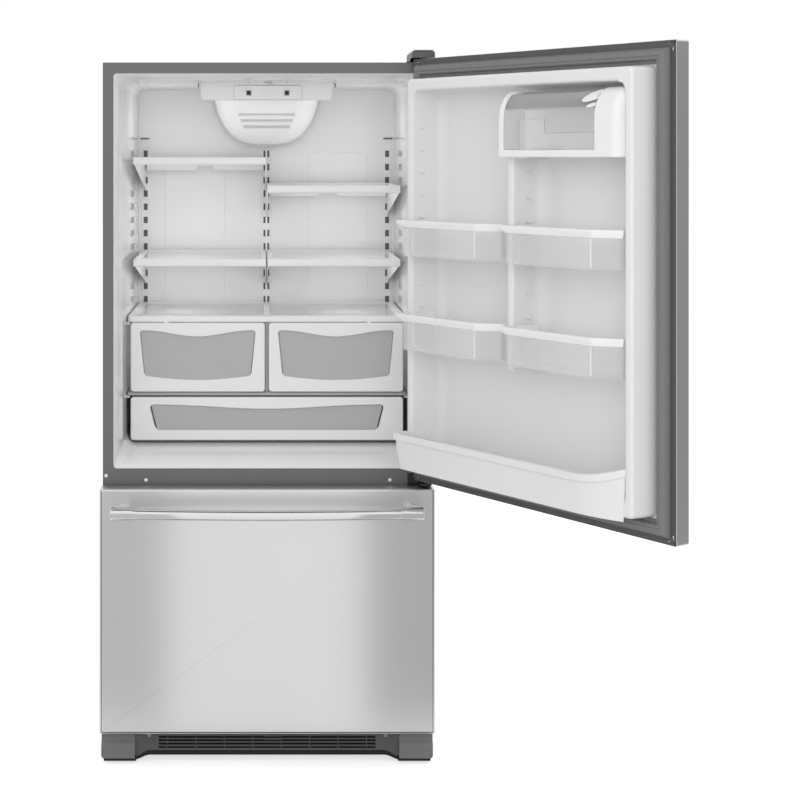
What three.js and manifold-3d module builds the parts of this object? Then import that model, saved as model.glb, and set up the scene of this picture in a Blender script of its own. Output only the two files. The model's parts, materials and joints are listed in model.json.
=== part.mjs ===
// A bottom freezer refrigerator: an insulated cabinet, a swinging fresh food door with its bins, a pull-out
// freezer drawer, shelves, crispers and the cooling parts behind them. Millimetres, +Z up. While the parts
// are made, x = 0 is the cabinet's middle, y = 0 its front face with +y to the back, and z = 0 the floor.
import * as THREE from 'three';
import { mergeVertices } from 'three/addons/utils/BufferGeometryUtils.js';
import Module from 'manifold-3d';

const wasm = await Module();
wasm.setup();

// ---------------------------------------------------------------- driving dimensions
const fit = 0.3; // clearance between two pieces that seat on each other
const running = 1; // clearance beside a piece that slides or turns

// Cabinet; its height adds up from its base to its top in the derived values
const cabinetWidth = 824;
const cabinetDepth = 730;
const cabinetBottom = 60;
const sheet = 0.8; // painted steel skin
const flangeWidth = 27; // front flange between the outside and a liner's mouth
const sideWall = 44; // insulated wall, skin and liner included
const topWall = 43;
const backWall = 130; // behind the fresh food liner
const linerSheet = 2;
const mouthRadius = 12;
const linerRadius = 28;
const flareDepth = 90; // depth over which a liner narrows from its mouth
const shelfLedge = 9; // moulded ledges that carry covers and baskets
const ledgeHeight = 8;
const fridgeSill = 31; // fresh food floor above its mouth's lower edge

// Freezer compartment, stepped over the machine space
const freezerSill = 12; // between the mouth and the floor, and the ceiling and the mouth
const freezerBackWall = 170;
const stepBackWall = 55; // between the low part of the freezer and the machine space
const stepWall = 45;
const machineTop = 300;
const machineDepth = 245;
const machineSideWall = 20;

// Door and drawer
const doorOverlap = 2.5; // the door's reach past the cabinet at each side
const doorThickness = 42;
const doorOverTop = 6; // door's upper edge above the cabinet's top
const doorLap = 20; // door's lower edge below the fresh food mouth
const doorGap = 19; // between the drawer and the door
const drawerLap = 35; // drawer's upper edge above the freezer's mouth
const drawerLowLap = 36;
const toeGap = 4; // between the toe panel and the drawer
const gasketThickness = 17.5;
const gasketGap = 0.5; // between the closed gasket and the cabinet's flange
const gasketInset = 16; // painted flange left bare round the gasket
const gasketWidth = 32;
const doorEdgeRadius = 7;
const doorOpenAngle = 125; // the pose at rest, as a person leaves it open
const hingeInset = 21; // hinge axis from the door's side
const hingeSetback = 23; // hinge axis in front of the door's inner face
const hingePinRadius = 5;
const linerSink = 16; // door liner's floor below its inner face
const dykeHeight = 70; // raised walls that hold the door's bins
const dykeCrest = 20;
const dykeFoot = 35; // width of a dyke at the liner's floor
const dykeInset = 51; // dyke's outer face from the door's side
const pilasterCrest = 20;
const pilasterFoot = 46;
const pilasterDrop = 16; // pilaster's end below the lower bins

// Door bins
const binOut = 42; // reach of a bin's front out of the dykes' crests
const binHeight = 83;
const rimHeight = 20;
const rimOverhang = 4;
const binWall = 3;
const binCorner = 50;
const binDrop = 148; // upper bins' rims below the dairy compartment
const binSpacing = 225;
const bottomBinHeight = 89;
const bottomBinCorner = 92;

// Dairy compartment
const dairyDrop = 43; // below the upper dyke's outer edge
const dairyHeight = 154;
const dairyOut = 24; // reach of its front out of the dykes' crests
const dairyLip = 15;
const dairyCheek = 9;
const dairyFairing = 66;
const dairyRadius = 46;
const dairyCoverWall = 2.5;
const dairyPin = 2.5;
const dairyRail = 7; // fixed strip of the housing behind the cover's upper edge
const dairyRailHeight = 4;
const dairyAxisOut = 12; // cover's hinge axis in front of the dykes' crests
const dairyAxisDrop = 15;

// Handles
const handleReach = 60; // bar's centre line out of the door's face, at its ends
const handleBow = 20; // and how much more at its middle
const handleBar = 13;
const handleCap = 16;
const handleCapLength = 50;
const handleEnd = 34; // drawer's side past the end of its handle
const handlePostInset = 28.5;
const handlePost = 12.5;
const drawerHandleDrop = 47;
const doorHandleRise = 63.5; // lower end above the door's lower edge
const doorHandleInset = 88;

// Shelves and ladders
const shelfFront = 185;
const shelfRim = 20;
const shelfFrame = 12;
const shelfGlass = 4;
const shelfRearDrop = 38;
const shelfNotch = 40;
const shelfSideSpace = 18; // beside a shelf, to the liner's wall
const shelfGap = 4; // between a left and a right shelf
const bracketThickness = 3;
const bracketDrop = 98;
const lowerShelfSpace = 149; // above the crispers' cover
const rightShelfSpace = 193;
const leftShelfRise = 74; // of the upper left shelf over the upper right one
const ladderWidth = 24;
const ladderThickness = 2;
const ladderInset = 20;
const ladderOverShelf = 57;
const ladderUnderCover = 49;
const slotPitch = 38.1;
const slotLowEnd = 17.4;
const slotHighEnd = 47.4;
const slotWidth = 11.5;
const slotHeight = 18.7;
const centreSlotWidth = 5.8;
const centreSlotOffset = 5.5;

// Crispers and deli drawer
const crisperCoverHeight = 16;
const coverSideSpace = 4;
const crisperSideSpace = 2.5;
const crisperHeight = 180;
const crisperFrontThickness = 16;
const crisperWall = 3;
const crisperBackSpace = 45;
const crisperInset = 10;
const crisperSpacing = 10; // between the two crispers' fronts
const crisperTubDrop = 12; // tub's edge below the front's
const deliCoverHeight = 8;
const deliHeight = 113;
const deliRise = 8; // front's lower edge above the floor
const drawerHeadroom = 3; // above and below a drawer's front
const windowRecess = 5;
const crisperWindow = { drop: 19, side: 24, lowSide: 36, dip: 15, height: 119, sag: 11 };
const deliWindow = { drop: 19, side: 49, lowSide: 66, dip: 10, height: 67, sag: 0 };

// Control housing and light
const controlFront = 130;
const controlLean = 20; // front face slopes back towards its lower edge
const controlBackSpace = 120;
const controlHeight = 47;
const controlHalfTop = 176;
const controlHalfBottom = 169;
const buttonRadius = 6;
const buttonDepth = 7;
const buttonProud = 1.6;
const buttonRise = 18;
const buttonPlaces = [-67, -23, 27, 73];
const lensHalfWidth = 135;
const lensHeight = 110;
const lensSpace = 38; // above the upper left shelf
const lensSetback = 45; // its front behind the control housing's

// Freezer baskets and slides
const slideHeight = 34;
const slideRise = 2; // above the round corner of the freezer's step
const slideThickness = 11;
const slideMember = 5;
const railLip = 4;
const slideFront = 12;
const slideEnd = 18; // in front of the evaporator's cover
const carrierThickness = 9;
const carrierSpace = 5; // above and below the carrier's arm, within the slide's height
const carrierFoot = 30;
const basketWall = 3;
const basketTaper = 12;
const basketCorner = 18;
const basketRise = 20; // above the freezer's floor
const basketFront = 6;
const basketBackSpace = 28;
const basketRim = 10;
const basketSlots = 5;
const basketSlotEnd = 60;
const basketSlotWidth = 76;
const basketSlotHeight = 16;
const basketSlotPitch = 62;
const basketSlotRise = 34;
const upperBasketSpace = 72; // above the slides
const upperBasketHeight = 125;
const upperBasketHeadroom = 50;
const upperBasketFront = 40;
const upperBasketBackSpace = 30;
const upperBasketRim = 8;

// Toe grille, base, feet and rollers
const grilleRise = 18; // upper edge above the cabinet's bottom
const grilleHeight = 48;
const grilleFace = 24; // in front of the cabinet's face
const grilleThickness = 4;
const grilleSlots = 5;
const grilleSlotHeight = 3.6;
const grillePitch = 6.2;
const grilleSlotRise = 10;
const grilleEnd = 63; // between a toe block and the slots
const grilleBays = 8;
const grilleRib = 2.4;
const grilleClipInset = 112;
const toeWidth = 87;
const toeFace = 36;
const toeClear = 2;
const toeSlope = 26;
const basePlate = 3;
const baseSkirt = 34;
const baseFront = 30;
const baseInset = 4;
const footRadius = 21;
const footStem = 6;
const footPad = 9;
const footInset = 42;
const footSetback = 62;
const rollerRadius = 20;
const rollerWidth = 18;
const rollerAxle = 4;
const rollerBackSpace = 50;
const rollerInset = 40;
const rollerCheek = 16; // half the cheek's length

// Hinge hardware
const bracketSheet = 3;
const hingeArmHalf = 16;
const topArmHeight = 9; // arm's underside above the cabinet's top
const hingePlateFront = 14;
const hingePlateLength = 96;
const hingePlateWidth = 58;
const pinLength = 18;
const coverHeight = 28;
const coverWall = 2.4;
const coverLength = 164;
const coverWidth = 78;
const coverOverhang = 4;
const centreArmGap = 7; // between the drawer and the centre hinge's arm
const centreArmSheet = 5;
const centrePlateLap = 16;

// Cooling parts
const evaporatorSpace = 60; // from its cover's face to the freezer's back
const evaporatorSheet = 4;
const evaporatorTube = 4;
const evaporatorRows = 6;
const evaporatorEnd = 118;
const evaporatorRise = 14;
const returnSlots = 5;
const returnEnd = 38;
const returnWidth = 100;
const returnHeight = 10;
const returnRise = 24;
const fanRadius = 50;
const fanHub = 17;
const fanBlades = 5;
const fanDepth = 18;
const fanDrop = 80; // evaporator fan's axis below the freezer's ceiling
const fanRise = 24; // condenser fan's rim above the base
const motorRadius = 14;
const motorLength = 10;
const shaftRadius = 3;
const compressorRadius = 74;
const compressorHeight = 168;
const compressorBand = 3;
const compressorShoulder = 40;
const compressorInset = 222;
const compressorPlateHalf = 92;
const compressorPlateDepth = 60;
const compressorFootPlace = 80;
const compressorFootDepth = 48;
const compressorFootRadius = 9;
const compressorLift = 10;
const suctionTube = 5;
const suctionLength = 22;
const condenserTube = 3;
const condenserRows = 7;
const condenserPitch = 22;
const condenserHalf = 70;
const condenserInset = 162;
const condenserBackSpace = 60;
const condenserFanSpace = 190; // from the coil's middle to its fan's axis
const condenserMotorSetback = 60;
const condenserMotorLength = 30;
const ventSlots = 9;
const ventSlotHeight = 6;
const ventPitch = 18;
const ventRise = 45;
const ventHalf = 90;

// ---------------------------------------------------------------- derived values
const halfCabinet = cabinetWidth / 2;
const mouthHalf = halfCabinet - flangeWidth;
const innerHalf = halfCabinet - sideWall;

// Heights, from the base up
const grilleTop = cabinetBottom + grilleRise;
const grilleBottom = grilleTop - grilleHeight;
const drawerBottom = grilleTop + toeGap;
const freezerMouthBottom = drawerBottom + drawerLowLap;
const freezerFloor = freezerMouthBottom + freezerSill;
const basketBottom = freezerFloor + basketRise;
const stepHeight = machineTop + stepWall;
const slideLow = stepHeight + mouthRadius + slideRise;
const slideHigh = slideLow + slideHeight;
const upperBasketBottom = slideHigh + upperBasketSpace;
const upperBasketTop = upperBasketBottom + upperBasketHeight;
const freezerCeiling = upperBasketTop + upperBasketHeadroom;
const mullionBottom = freezerCeiling + freezerSill;
const drawerTop = mullionBottom + drawerLap;
const doorBottom = drawerTop + doorGap;
const mullionTop = doorBottom + doorLap;
const fridgeFloor = mullionTop + fridgeSill;
const deliBottom = fridgeFloor + deliRise;
const deliTop = deliBottom + deliHeight;
const deliCoverTop = deliTop + drawerHeadroom + deliCoverHeight;
const crisperBottom = deliCoverTop + drawerHeadroom;
const crisperTop = crisperBottom + crisperHeight;
const crisperCoverTop = crisperTop + running + crisperCoverHeight;
const lowerShelf = crisperCoverTop + lowerShelfSpace;
const upperRightShelf = lowerShelf + rightShelfSpace;
const upperLeftShelf = upperRightShelf + leftShelfRise;
const lensBottom = upperLeftShelf + lensSpace;
const controlBottom = lensBottom + lensHeight;
const fridgeCeiling = controlBottom + controlHeight;
const cabinetTop = fridgeCeiling + topWall;
const mouthTop = cabinetTop - flangeWidth;

// Depths, from the front
const fridgeBack = cabinetDepth - backWall;
const machineFront = cabinetDepth - machineDepth;
const freezerLowBack = machineFront - stepBackWall;
const freezerHighBack = cabinetDepth - freezerBackWall;
const evaporatorCoverFace = freezerHighBack - evaporatorSpace;
const slideBack = evaporatorCoverFace - slideEnd;

// Door and drawer, drawn closed
const doorWidth = cabinetWidth + 2 * doorOverlap;
const halfDoor = doorWidth / 2;
const doorTop = cabinetTop + doorOverTop;
const innerFace = -(gasketThickness + gasketGap); // plane of the closed door's inner face
const outerFace = innerFace - doorThickness;
const axisX = halfDoor - hingeInset;
const axisY = innerFace - hingeSetback;
const binDepth = dykeHeight + binOut;
const dairyReach = dykeHeight + dairyOut;
const dairyTop = doorTop - dykeInset - dairyDrop;
const dairyBottom = dairyTop - dairyHeight;
const upperBinTop = dairyBottom - binDrop;
const lowerBinTop = upperBinTop - binSpacing;
const pilasterBottom = lowerBinTop - binHeight - pilasterDrop;
const handleHalf = halfDoor - handleEnd;

// ---------------------------------------------------------------- building tools
const turn = Math.PI * 2;

// A solid from a closed surface, turned to face out if its order was the other way round.
function solidFrom(positions, index) {
  const vertProperties = new Float32Array(positions);
  const closed = (order) => (
    new wasm.Manifold(new wasm.Mesh({ numProp: 3, vertProperties, triVerts: new Uint32Array(order) })));
  const made = closed(index);
  if (made.volume() > 0) return made;
  return closed(index.map((v, i) => index[i - (i % 3) + [0, 2, 1][i % 3]]));
}

function solid(geometry) {
  const bare = new THREE.BufferGeometry().setAttribute('position', geometry.getAttribute('position'));
  bare.setIndex(geometry.index);
  const merged = mergeVertices(bare, 1e-4);
  return solidFrom([...merged.attributes.position.array], [...merged.index.array]);
}

function block(x0, x1, y0, y1, z0, z1) {
  const box = new THREE.BoxGeometry(x1 - x0, y1 - y0, z1 - z0);
  return solid(box.translate((x0 + x1) / 2, (y0 + y1) / 2, (z0 + z1) / 2));
}

// A round bar between two points.
function rod(from, to, radius, sides = 16, endRadius = radius) {
  const length = from.distanceTo(to);
  const bar = new THREE.CylinderGeometry(endRadius, radius, length, sides).translate(0, length / 2, 0);
  const along = to.clone().sub(from).normalize();
  bar.applyQuaternion(new THREE.Quaternion().setFromUnitVectors(new THREE.Vector3(0, 1, 0), along));
  return solid(bar.translate(from.x, from.y, from.z));
}
const point = (x, y, z) => new THREE.Vector3(x, y, z);
const barX = (x0, x1, y, z, radius, sides) => rod(point(x0, y, z), point(x1, y, z), radius, sides);
const barY = (x, y0, y1, z, radius, sides) => rod(point(x, y0, z), point(x, y1, z), radius, sides);
const barZ = (x, y, z0, z1, radius, sides) => rod(point(x, y, z0), point(x, y, z1), radius, sides);

// An outline in (y, z) run along x, in (x, z) run along y, or in (x, y) run along z.
function outline(points) {
  return new THREE.Shape(points.map(([a, b]) => new THREE.Vector2(a, b)));
}
function prismX(points, x0, x1) {
  const made = new THREE.ExtrudeGeometry(outline(points), { depth: x1 - x0, bevelEnabled: false });
  const basis = new THREE.Matrix4().makeBasis(point(0, 1, 0), point(0, 0, 1), point(1, 0, 0));
  return solid(made.applyMatrix4(basis).translate(x0, 0, 0));
}
function prismY(points, y0, y1) {
  const made = new THREE.ExtrudeGeometry(outline(points), { depth: y1 - y0, bevelEnabled: false });
  return solid(made.rotateX(Math.PI / 2).translate(0, y1, 0));
}

// Points of an arc of an ellipse, both ends included.
function arc(cx, cy, rx, ry, from, to, steps) {
  return Array.from({ length: steps + 1 }, (_, i) => {
    const t = THREE.MathUtils.degToRad(from + ((to - from) * i) / steps);
    return [cx + rx * Math.cos(t), cy + ry * Math.sin(t)];
  });
}

// A rectangle with round corners, as a ring of points.
function roundRing(a0, a1, b0, b1, r, steps = 3) {
  return [
    ...arc(a1 - r, b1 - r, r, r, 0, 90, steps),
    ...arc(a0 + r, b1 - r, r, r, 90, 180, steps),
    ...arc(a0 + r, b0 + r, r, r, 180, 270, steps),
    ...arc(a1 - r, b0 + r, r, r, 270, 360, steps),
  ];
}

// A skin stretched over rings that have the same number of points, closed at both ends.
function loft(rings) {
  const count = rings[0].length;
  const index = [];
  rings.slice(1).forEach((_, k) => {
    for (let i = 0; i < count; i += 1) {
      const a = k * count + i;
      const b = k * count + ((i + 1) % count);
      index.push(a, b, b + count, a, b + count, a + count);
    }
  });
  const last = (rings.length - 1) * count;
  THREE.ShapeUtils.triangulateShape(flatten(rings[0]), []).forEach(([a, b, c]) => index.push(a, c, b));
  THREE.ShapeUtils.triangulateShape(flatten(rings.at(-1)), []).forEach(([a, b, c]) => {
    index.push(last + a, last + b, last + c);
  });
  return solidFrom(rings.flat().flatMap((p) => [p.x, p.y, p.z]), index);
}

// A flat ring seen square on, counted the same way round as the loft's side faces.
function flatten(ring) {
  const normal = point(0, 0, 0);
  ring.forEach((p, i) => normal.add(p.clone().cross(ring[(i + 1) % ring.length])));
  normal.normalize();
  const u = Math.abs(normal.z) > 0.6 ? point(1, 0, 0) : point(0, 0, 1);
  const right = u.clone().cross(normal).normalize();
  const up = normal.clone().cross(right);
  return ring.map((p) => new THREE.Vector2(p.dot(right), p.dot(up)));
}
const atY = (y) => ([a, b]) => point(a, y, b);
const atZ = (z) => ([a, b]) => point(a, b, z);

function join(...parts) {
  return parts.flat().reduce((whole, part) => whole.add(part));
}
function cut(whole, ...tools) {
  return tools.flat().reduce((left, tool) => left.subtract(tool), whole);
}
function repeat(count, make) {
  return Array.from({ length: count }, (_, i) => make(i));
}
const sides = [-1, 1];

// ---------------------------------------------------------------- finishes
function finish(color, roughness, metalness = 0, opacity = 1) {
  return () => new THREE.MeshStandardMaterial({
    color, roughness, metalness, opacity, transparent: opacity < 1, flatShading: true,
  });
}
const stainless = finish(0xc9c9c9, 0.32, 1);
const greyPaint = finish(0x7a7b7d, 0.5, 0.2);
const darkPlastic = finish(0x4a4b4d, 0.6);
const blackSteel = finish(0x1d1d1f, 0.5, 0.4);
const whitePlastic = finish(0xf0f0ee, 0.35);
const linerPlastic = finish(0xe9eae8, 0.25);
const rubber = finish(0x6d6e70, 0.8);
const clearPlastic = finish(0xe6eef0, 0.1, 0, 0.35);
const foamFinish = finish(0xe8d9a8, 0.9);
const zincSteel = finish(0xb5b8ba, 0.45, 0.9);
const copper = finish(0xb8734a, 0.35, 1);

const part = new THREE.Group();
const doorFrame = new THREE.Group();
doorFrame.position.set(axisX, axisY, 0);
doorFrame.rotation.z = THREE.MathUtils.degToRad(doorOpenAngle);
const door = new THREE.Group();
door.position.set(-axisX, -axisY, 0);
doorFrame.add(door);
part.add(doorFrame);

// Adds a named piece to the cabinet, or to the door, whose pieces are drawn in their closed place.
function piece(name, shape, material, group = part) {
  const made = shape.getMesh();
  const positions = new Float32Array(made.numVert * 3);
  for (let i = 0; i < made.numVert; i += 1) {
    positions.set(made.vertProperties.subarray(i * made.numProp, i * made.numProp + 3), i * 3);
  }
  const geometry = new THREE.BufferGeometry();
  geometry.setAttribute('position', new THREE.BufferAttribute(positions, 3));
  geometry.setIndex(new THREE.BufferAttribute(new Uint32Array(made.triVerts), 1));
  geometry.computeVertexNormals();
  const mesh = new THREE.Mesh(geometry, material());
  mesh.name = name;
  group.add(mesh);
}

// ---------------------------------------------------------------- cabinet shell
// A moulded tub seen from the front: rings of x and z that narrow towards the back.
function tub(stations, grow, front) {
  return loft(stations.map(({ y, half, low, high, radius }, i) => {
    const depth = i === stations.length - 1 ? y + grow : y;
    const ring = roundRing(-half - grow, half + grow, low - grow, high + grow, radius + grow);
    return ring.map(atY(i === 0 ? front : depth));
  }));
}
const mouthY = sheet + fit;
const flareHalf = (mouthHalf - innerHalf) / 4 + innerHalf;
const fridgeStations = [
  { y: mouthY, half: mouthHalf, low: mullionTop, high: mouthTop, radius: mouthRadius },
  {
    y: flareDepth / 2, half: flareHalf, radius: (mouthRadius + linerRadius) / 2,
    low: (mullionTop + 3 * fridgeFloor) / 4, high: (mouthTop + 3 * fridgeCeiling) / 4,
  },
  { y: flareDepth, half: innerHalf, low: fridgeFloor, high: fridgeCeiling, radius: linerRadius },
  { y: fridgeBack - 6, half: innerHalf, low: fridgeFloor, high: fridgeCeiling, radius: linerRadius },
  { y: fridgeBack, half: innerHalf - 6, low: fridgeFloor + 6, high: fridgeCeiling - 6, radius: linerRadius },
];
const freezerLowStations = [
  { y: mouthY, half: mouthHalf, low: freezerMouthBottom, high: mullionBottom, radius: mouthRadius },
  { y: flareDepth, half: innerHalf, low: freezerFloor, high: freezerCeiling, radius: mouthRadius },
  { y: freezerLowBack, half: innerHalf, low: freezerFloor, high: freezerCeiling, radius: mouthRadius },
];
const freezerHighStations = [
  { y: flareDepth, half: innerHalf, low: stepHeight, high: freezerCeiling, radius: mouthRadius },
  { y: freezerHighBack, half: innerHalf, low: stepHeight, high: freezerCeiling, radius: mouthRadius },
];
const fridgeTub = (grow, front = mouthY) => tub(fridgeStations, grow, front);
const freezerTub = (grow, front = mouthY) => join(
  tub(freezerLowStations, grow, front),
  tub(freezerHighStations, grow, flareDepth),
);

function cabinetWrapper() {
  const half = halfCabinet - sheet;
  const back = cabinetDepth - sheet;
  const outside = block(-halfCabinet, halfCabinet, 0, cabinetDepth, cabinetBottom, cabinetTop);
  const inside = block(-half, half, sheet, back, cabinetBottom - 1, cabinetTop - sheet);
  const machineBay = block(-half, half, back - 1, cabinetDepth + 1, cabinetBottom - 1, machineTop + fit);
  const mouth = (low, high) => (
    prismY(roundRing(-mouthHalf, mouthHalf, low, high, mouthRadius), -1, sheet + 1));
  return cut(
    outside, inside, machineBay, mouth(mullionTop, mouthTop), mouth(freezerMouthBottom, mullionBottom),
  );
}

const foamHalf = halfCabinet - sheet - fit;
const foamBack = cabinetDepth - sheet - fit;
const foamTop = cabinetTop - sheet - fit;
function cabinetFoam() {
  const whole = block(-foamHalf, foamHalf, mouthY, foamBack, cabinetBottom, foamTop);
  const half = halfCabinet - machineSideWall;
  const machineSpace = block(-half, half, machineFront, cabinetDepth + 1, cabinetBottom - 1, machineTop);
  const bottomCut = block(-half, half, baseFront, machineFront + 1, cabinetBottom - 1, cabinetBottom);
  const gap = linerSheet + fit;
  return cut(whole, fridgeTub(gap), freezerTub(gap), machineSpace, bottomCut);
}

// Ledges are moulded into a liner's side walls, one at each side.
function ledges(top, front, back) {
  return sides.map((s) => {
    const edges = [s * (innerHalf - shelfLedge), s * (innerHalf + linerSheet / 2)].sort((a, b) => a - b);
    return block(edges[0], edges[1], front, back, top - ledgeHeight, top);
  });
}
const ledgeBack = fridgeBack - linerRadius;
const crisperLedge = crisperCoverTop - crisperCoverHeight - fit;
const deliLedge = deliCoverTop - deliCoverHeight - fit;
const upperBasketLedge = upperBasketTop - basketWall - fit;

function fridgeLiner() {
  const walls = cut(fridgeTub(linerSheet), fridgeTub(0, mouthY - 1));
  return join(
    walls, ledges(crisperLedge, shelfFront + 8, ledgeBack), ledges(deliLedge, shelfFront + 8, ledgeBack),
  );
}
function freezerLiner() {
  const walls = cut(freezerTub(linerSheet), freezerTub(0, mouthY - 1));
  return join(walls, ledges(upperBasketLedge, flareDepth, evaporatorCoverFace - 5));
}

function machineCover() {
  const half = halfCabinet - sheet - fit;
  const panel = block(-half, half, cabinetDepth - sheet, cabinetDepth, cabinetBottom + fit, machineTop);
  const slots = sides.flatMap((s) => repeat(ventSlots, (i) => {
    const middle = s * (halfCabinet - compressorInset);
    const z = cabinetBottom + ventRise + i * ventPitch;
    return block(
      middle - ventHalf, middle + ventHalf, cabinetDepth - sheet - 1, cabinetDepth + 1, z, z + ventSlotHeight,
    );
  }));
  return cut(panel, slots);
}

piece('cabinet_wrapper', cabinetWrapper(), greyPaint);
piece('cabinet_foam', cabinetFoam(), foamFinish);
piece('fridge_liner', fridgeLiner(), linerPlastic);
piece('freezer_liner', freezerLiner(), linerPlastic);
piece('machine_cover', machineCover(), zincSteel);

// ---------------------------------------------------------------- base, feet, rollers, toe grille
const baseTop = cabinetBottom - fit;
const baseUnder = baseTop - basePlate;
const baseHalf = halfCabinet - baseInset;
const baseBack = cabinetDepth - baseInset;
const footX = halfCabinet - footInset;
const rollerX = halfCabinet - rollerInset;
const rollerY = cabinetDepth - rollerBackSpace;
const compressorX = -(halfCabinet - compressorInset);
const condenserX = halfCabinet - condenserInset;
const condenserFanX = condenserX - condenserFanSpace;
const condenserFanY = machineFront + condenserMotorSetback + condenserMotorLength;
const condenserFanZ = baseTop + fanRadius + fanRise;

function baseFrame() {
  const plate = block(-baseHalf, baseHalf, baseFront, baseBack, baseUnder, baseTop);
  const skirts = sides.map((s) => {
    const x = [s * baseHalf, s * (baseHalf - basePlate)].sort((a, b) => a - b);
    return block(x[0], x[1], baseFront, baseBack, baseUnder - baseSkirt, baseUnder);
  });
  const half = rollerWidth / 2 + running;
  const cheeks = sides.flatMap((s) => sides.map((t) => {
    const x = s * rollerX + t * (half + basePlate / 2);
    return block(
      x - basePlate / 2, x + basePlate / 2, rollerY - rollerCheek, rollerY + rollerCheek,
      rollerRadius - rollerAxle - 5, baseUnder,
    );
  }));
  const holes = sides.map((s) => barX(
    s * rollerX - half - basePlate - 1, s * rollerX + half + basePlate + 1, rollerY, rollerRadius,
    rollerAxle + fit, 16,
  ));
  const motorFront = condenserFanY - condenserMotorLength;
  const motor = barY(condenserFanX, motorFront, condenserFanY, condenserFanZ, motorRadius, 16);
  const post = block(
    condenserFanX - 6, condenserFanX + 6, motorFront + 6, condenserFanY - 6, baseTop - 1, condenserFanZ,
  );
  return join(cut(join(plate, skirts, cheeks), holes), post, motor);
}

function levellingFoot(s) {
  const x = s * footX;
  return join(
    barZ(x, footSetback, 0, footPad, footRadius, 20),
    barZ(x, footSetback, footPad - 1, baseUnder - fit, footStem, 12),
  );
}
function rearRoller(s) {
  const x = s * rollerX;
  const half = rollerWidth / 2;
  const axleHalf = half + basePlate + running;
  return join(
    barX(x - half, x + half, rollerY, rollerRadius, rollerRadius, 24),
    barX(x - axleHalf, x + axleHalf, rollerY, rollerRadius, rollerAxle, 12),
  );
}

// The toe panel is one moulding: a slotted middle and a forward block before each foot.
function toeGrille() {
  const inner = halfCabinet - toeWidth;
  const low = [
    [-inner + toeSlope, grilleBottom], [inner - toeSlope, grilleBottom], [inner, toeClear],
    [halfCabinet - 5, toeClear], [halfCabinet, toeClear + 5], [halfCabinet, grilleTop],
    [-halfCabinet, grilleTop], [-halfCabinet, toeClear + 5], [-halfCabinet + 5, toeClear], [-inner, toeClear],
  ];
  const panel = prismY(low, -grilleFace, -grilleFace + grilleThickness);
  const toes = sides.map((s) => {
    const xs = [s * halfCabinet, s * inner].sort((a, b) => a - b);
    const nose = [
      [-grilleFace + 1, toeClear], [-toeFace, toeClear], [-toeFace, grilleTop - 26],
      [-toeFace + 5, grilleTop - 16], [-grilleFace + 1, grilleTop - 12],
    ];
    return prismX(nose, xs[0], xs[1]);
  });
  const returns = sides.map((s) => {
    const xs = [s * halfCabinet, s * (halfCabinet - grilleThickness)].sort((a, b) => a - b);
    return block(xs[0], xs[1], -grilleFace + 1, -fit, toeClear + 5, grilleTop);
  });
  const clips = sides.map((s) => {
    const x = s * (halfCabinet - grilleClipInset);
    return block(x - 12, x + 12, -grilleFace + 1, -fit, cabinetBottom + 2, cabinetBottom + 12);
  });
  const grilleHalf = inner - grilleEnd;
  const bay = (2 * grilleHalf) / grilleBays;
  const slots = repeat(grilleSlots, (row) => repeat(grilleBays, (column) => {
    const x = -grilleHalf + column * bay;
    const z = grilleBottom + grilleSlotRise + row * grillePitch;
    return block(x + grilleRib / 2, x + bay - grilleRib / 2, -toeFace - 1, 0, z, z + grilleSlotHeight);
  })).flat();
  return join(cut(panel, slots), toes, returns, clips);
}

piece('base_frame', baseFrame(), zincSteel);
piece('toe_grille', toeGrille(), darkPlastic);
piece('levelling_foot_left', levellingFoot(-1), darkPlastic);
piece('levelling_foot_right', levellingFoot(1), darkPlastic);
piece('rear_roller_left', rearRoller(-1), darkPlastic);
piece('rear_roller_right', rearRoller(1), darkPlastic);

// ---------------------------------------------------------------- hinges
const topPlateZ = cabinetTop + fit;
const topArmZ = cabinetTop + topArmHeight;
function topHingeBracket() {
  const x0 = axisX - hingePlateWidth + hingeArmHalf;
  const x1 = axisX + hingeArmHalf;
  const riserBack = hingePlateFront + bracketSheet;
  const plate = block(x0, x1, hingePlateFront, hingePlateLength, topPlateZ, topPlateZ + bracketSheet);
  const armTop = topArmZ + bracketSheet;
  const riser = block(axisX - hingeArmHalf, x1, hingePlateFront, riserBack, topPlateZ, armTop);
  const arm = block(axisX - hingeArmHalf, x1, axisY, riserBack, topArmZ, armTop);
  const nose = barZ(axisX, axisY, topArmZ, armTop, hingeArmHalf, 20);
  const pin = barZ(axisX, axisY, doorTop - pinLength, topArmZ + 1, hingePinRadius, 16);
  return join(plate, riser, arm, nose, pin);
}
function topHingeCover() {
  const coverTop = cabinetTop + coverHeight;
  const right = halfCabinet + coverOverhang;
  const front = axisY - hingeArmHalf - coverWall - running;
  const ring = (inset) => roundRing(
    right - coverWidth + inset, right - inset, front + inset, front + coverLength - inset, 13 - inset,
  );
  const hood = loft([
    ring(0).map(atZ(topPlateZ)), ring(0).map(atZ(coverTop - 6)), ring(5).map(atZ(coverTop)),
  ]);
  const hollow = loft([
    ring(coverWall).map(atZ(topPlateZ - 1)), ring(coverWall).map(atZ(coverTop - coverWall - 5)),
    ring(5 + coverWall).map(atZ(coverTop - coverWall)),
  ]);
  const doorSpace = block(right - coverWidth - 1, right + 1, front - 1, 3, cabinetTop - 1, doorTop + 2);
  return cut(hood, hollow, doorSpace);
}
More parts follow.
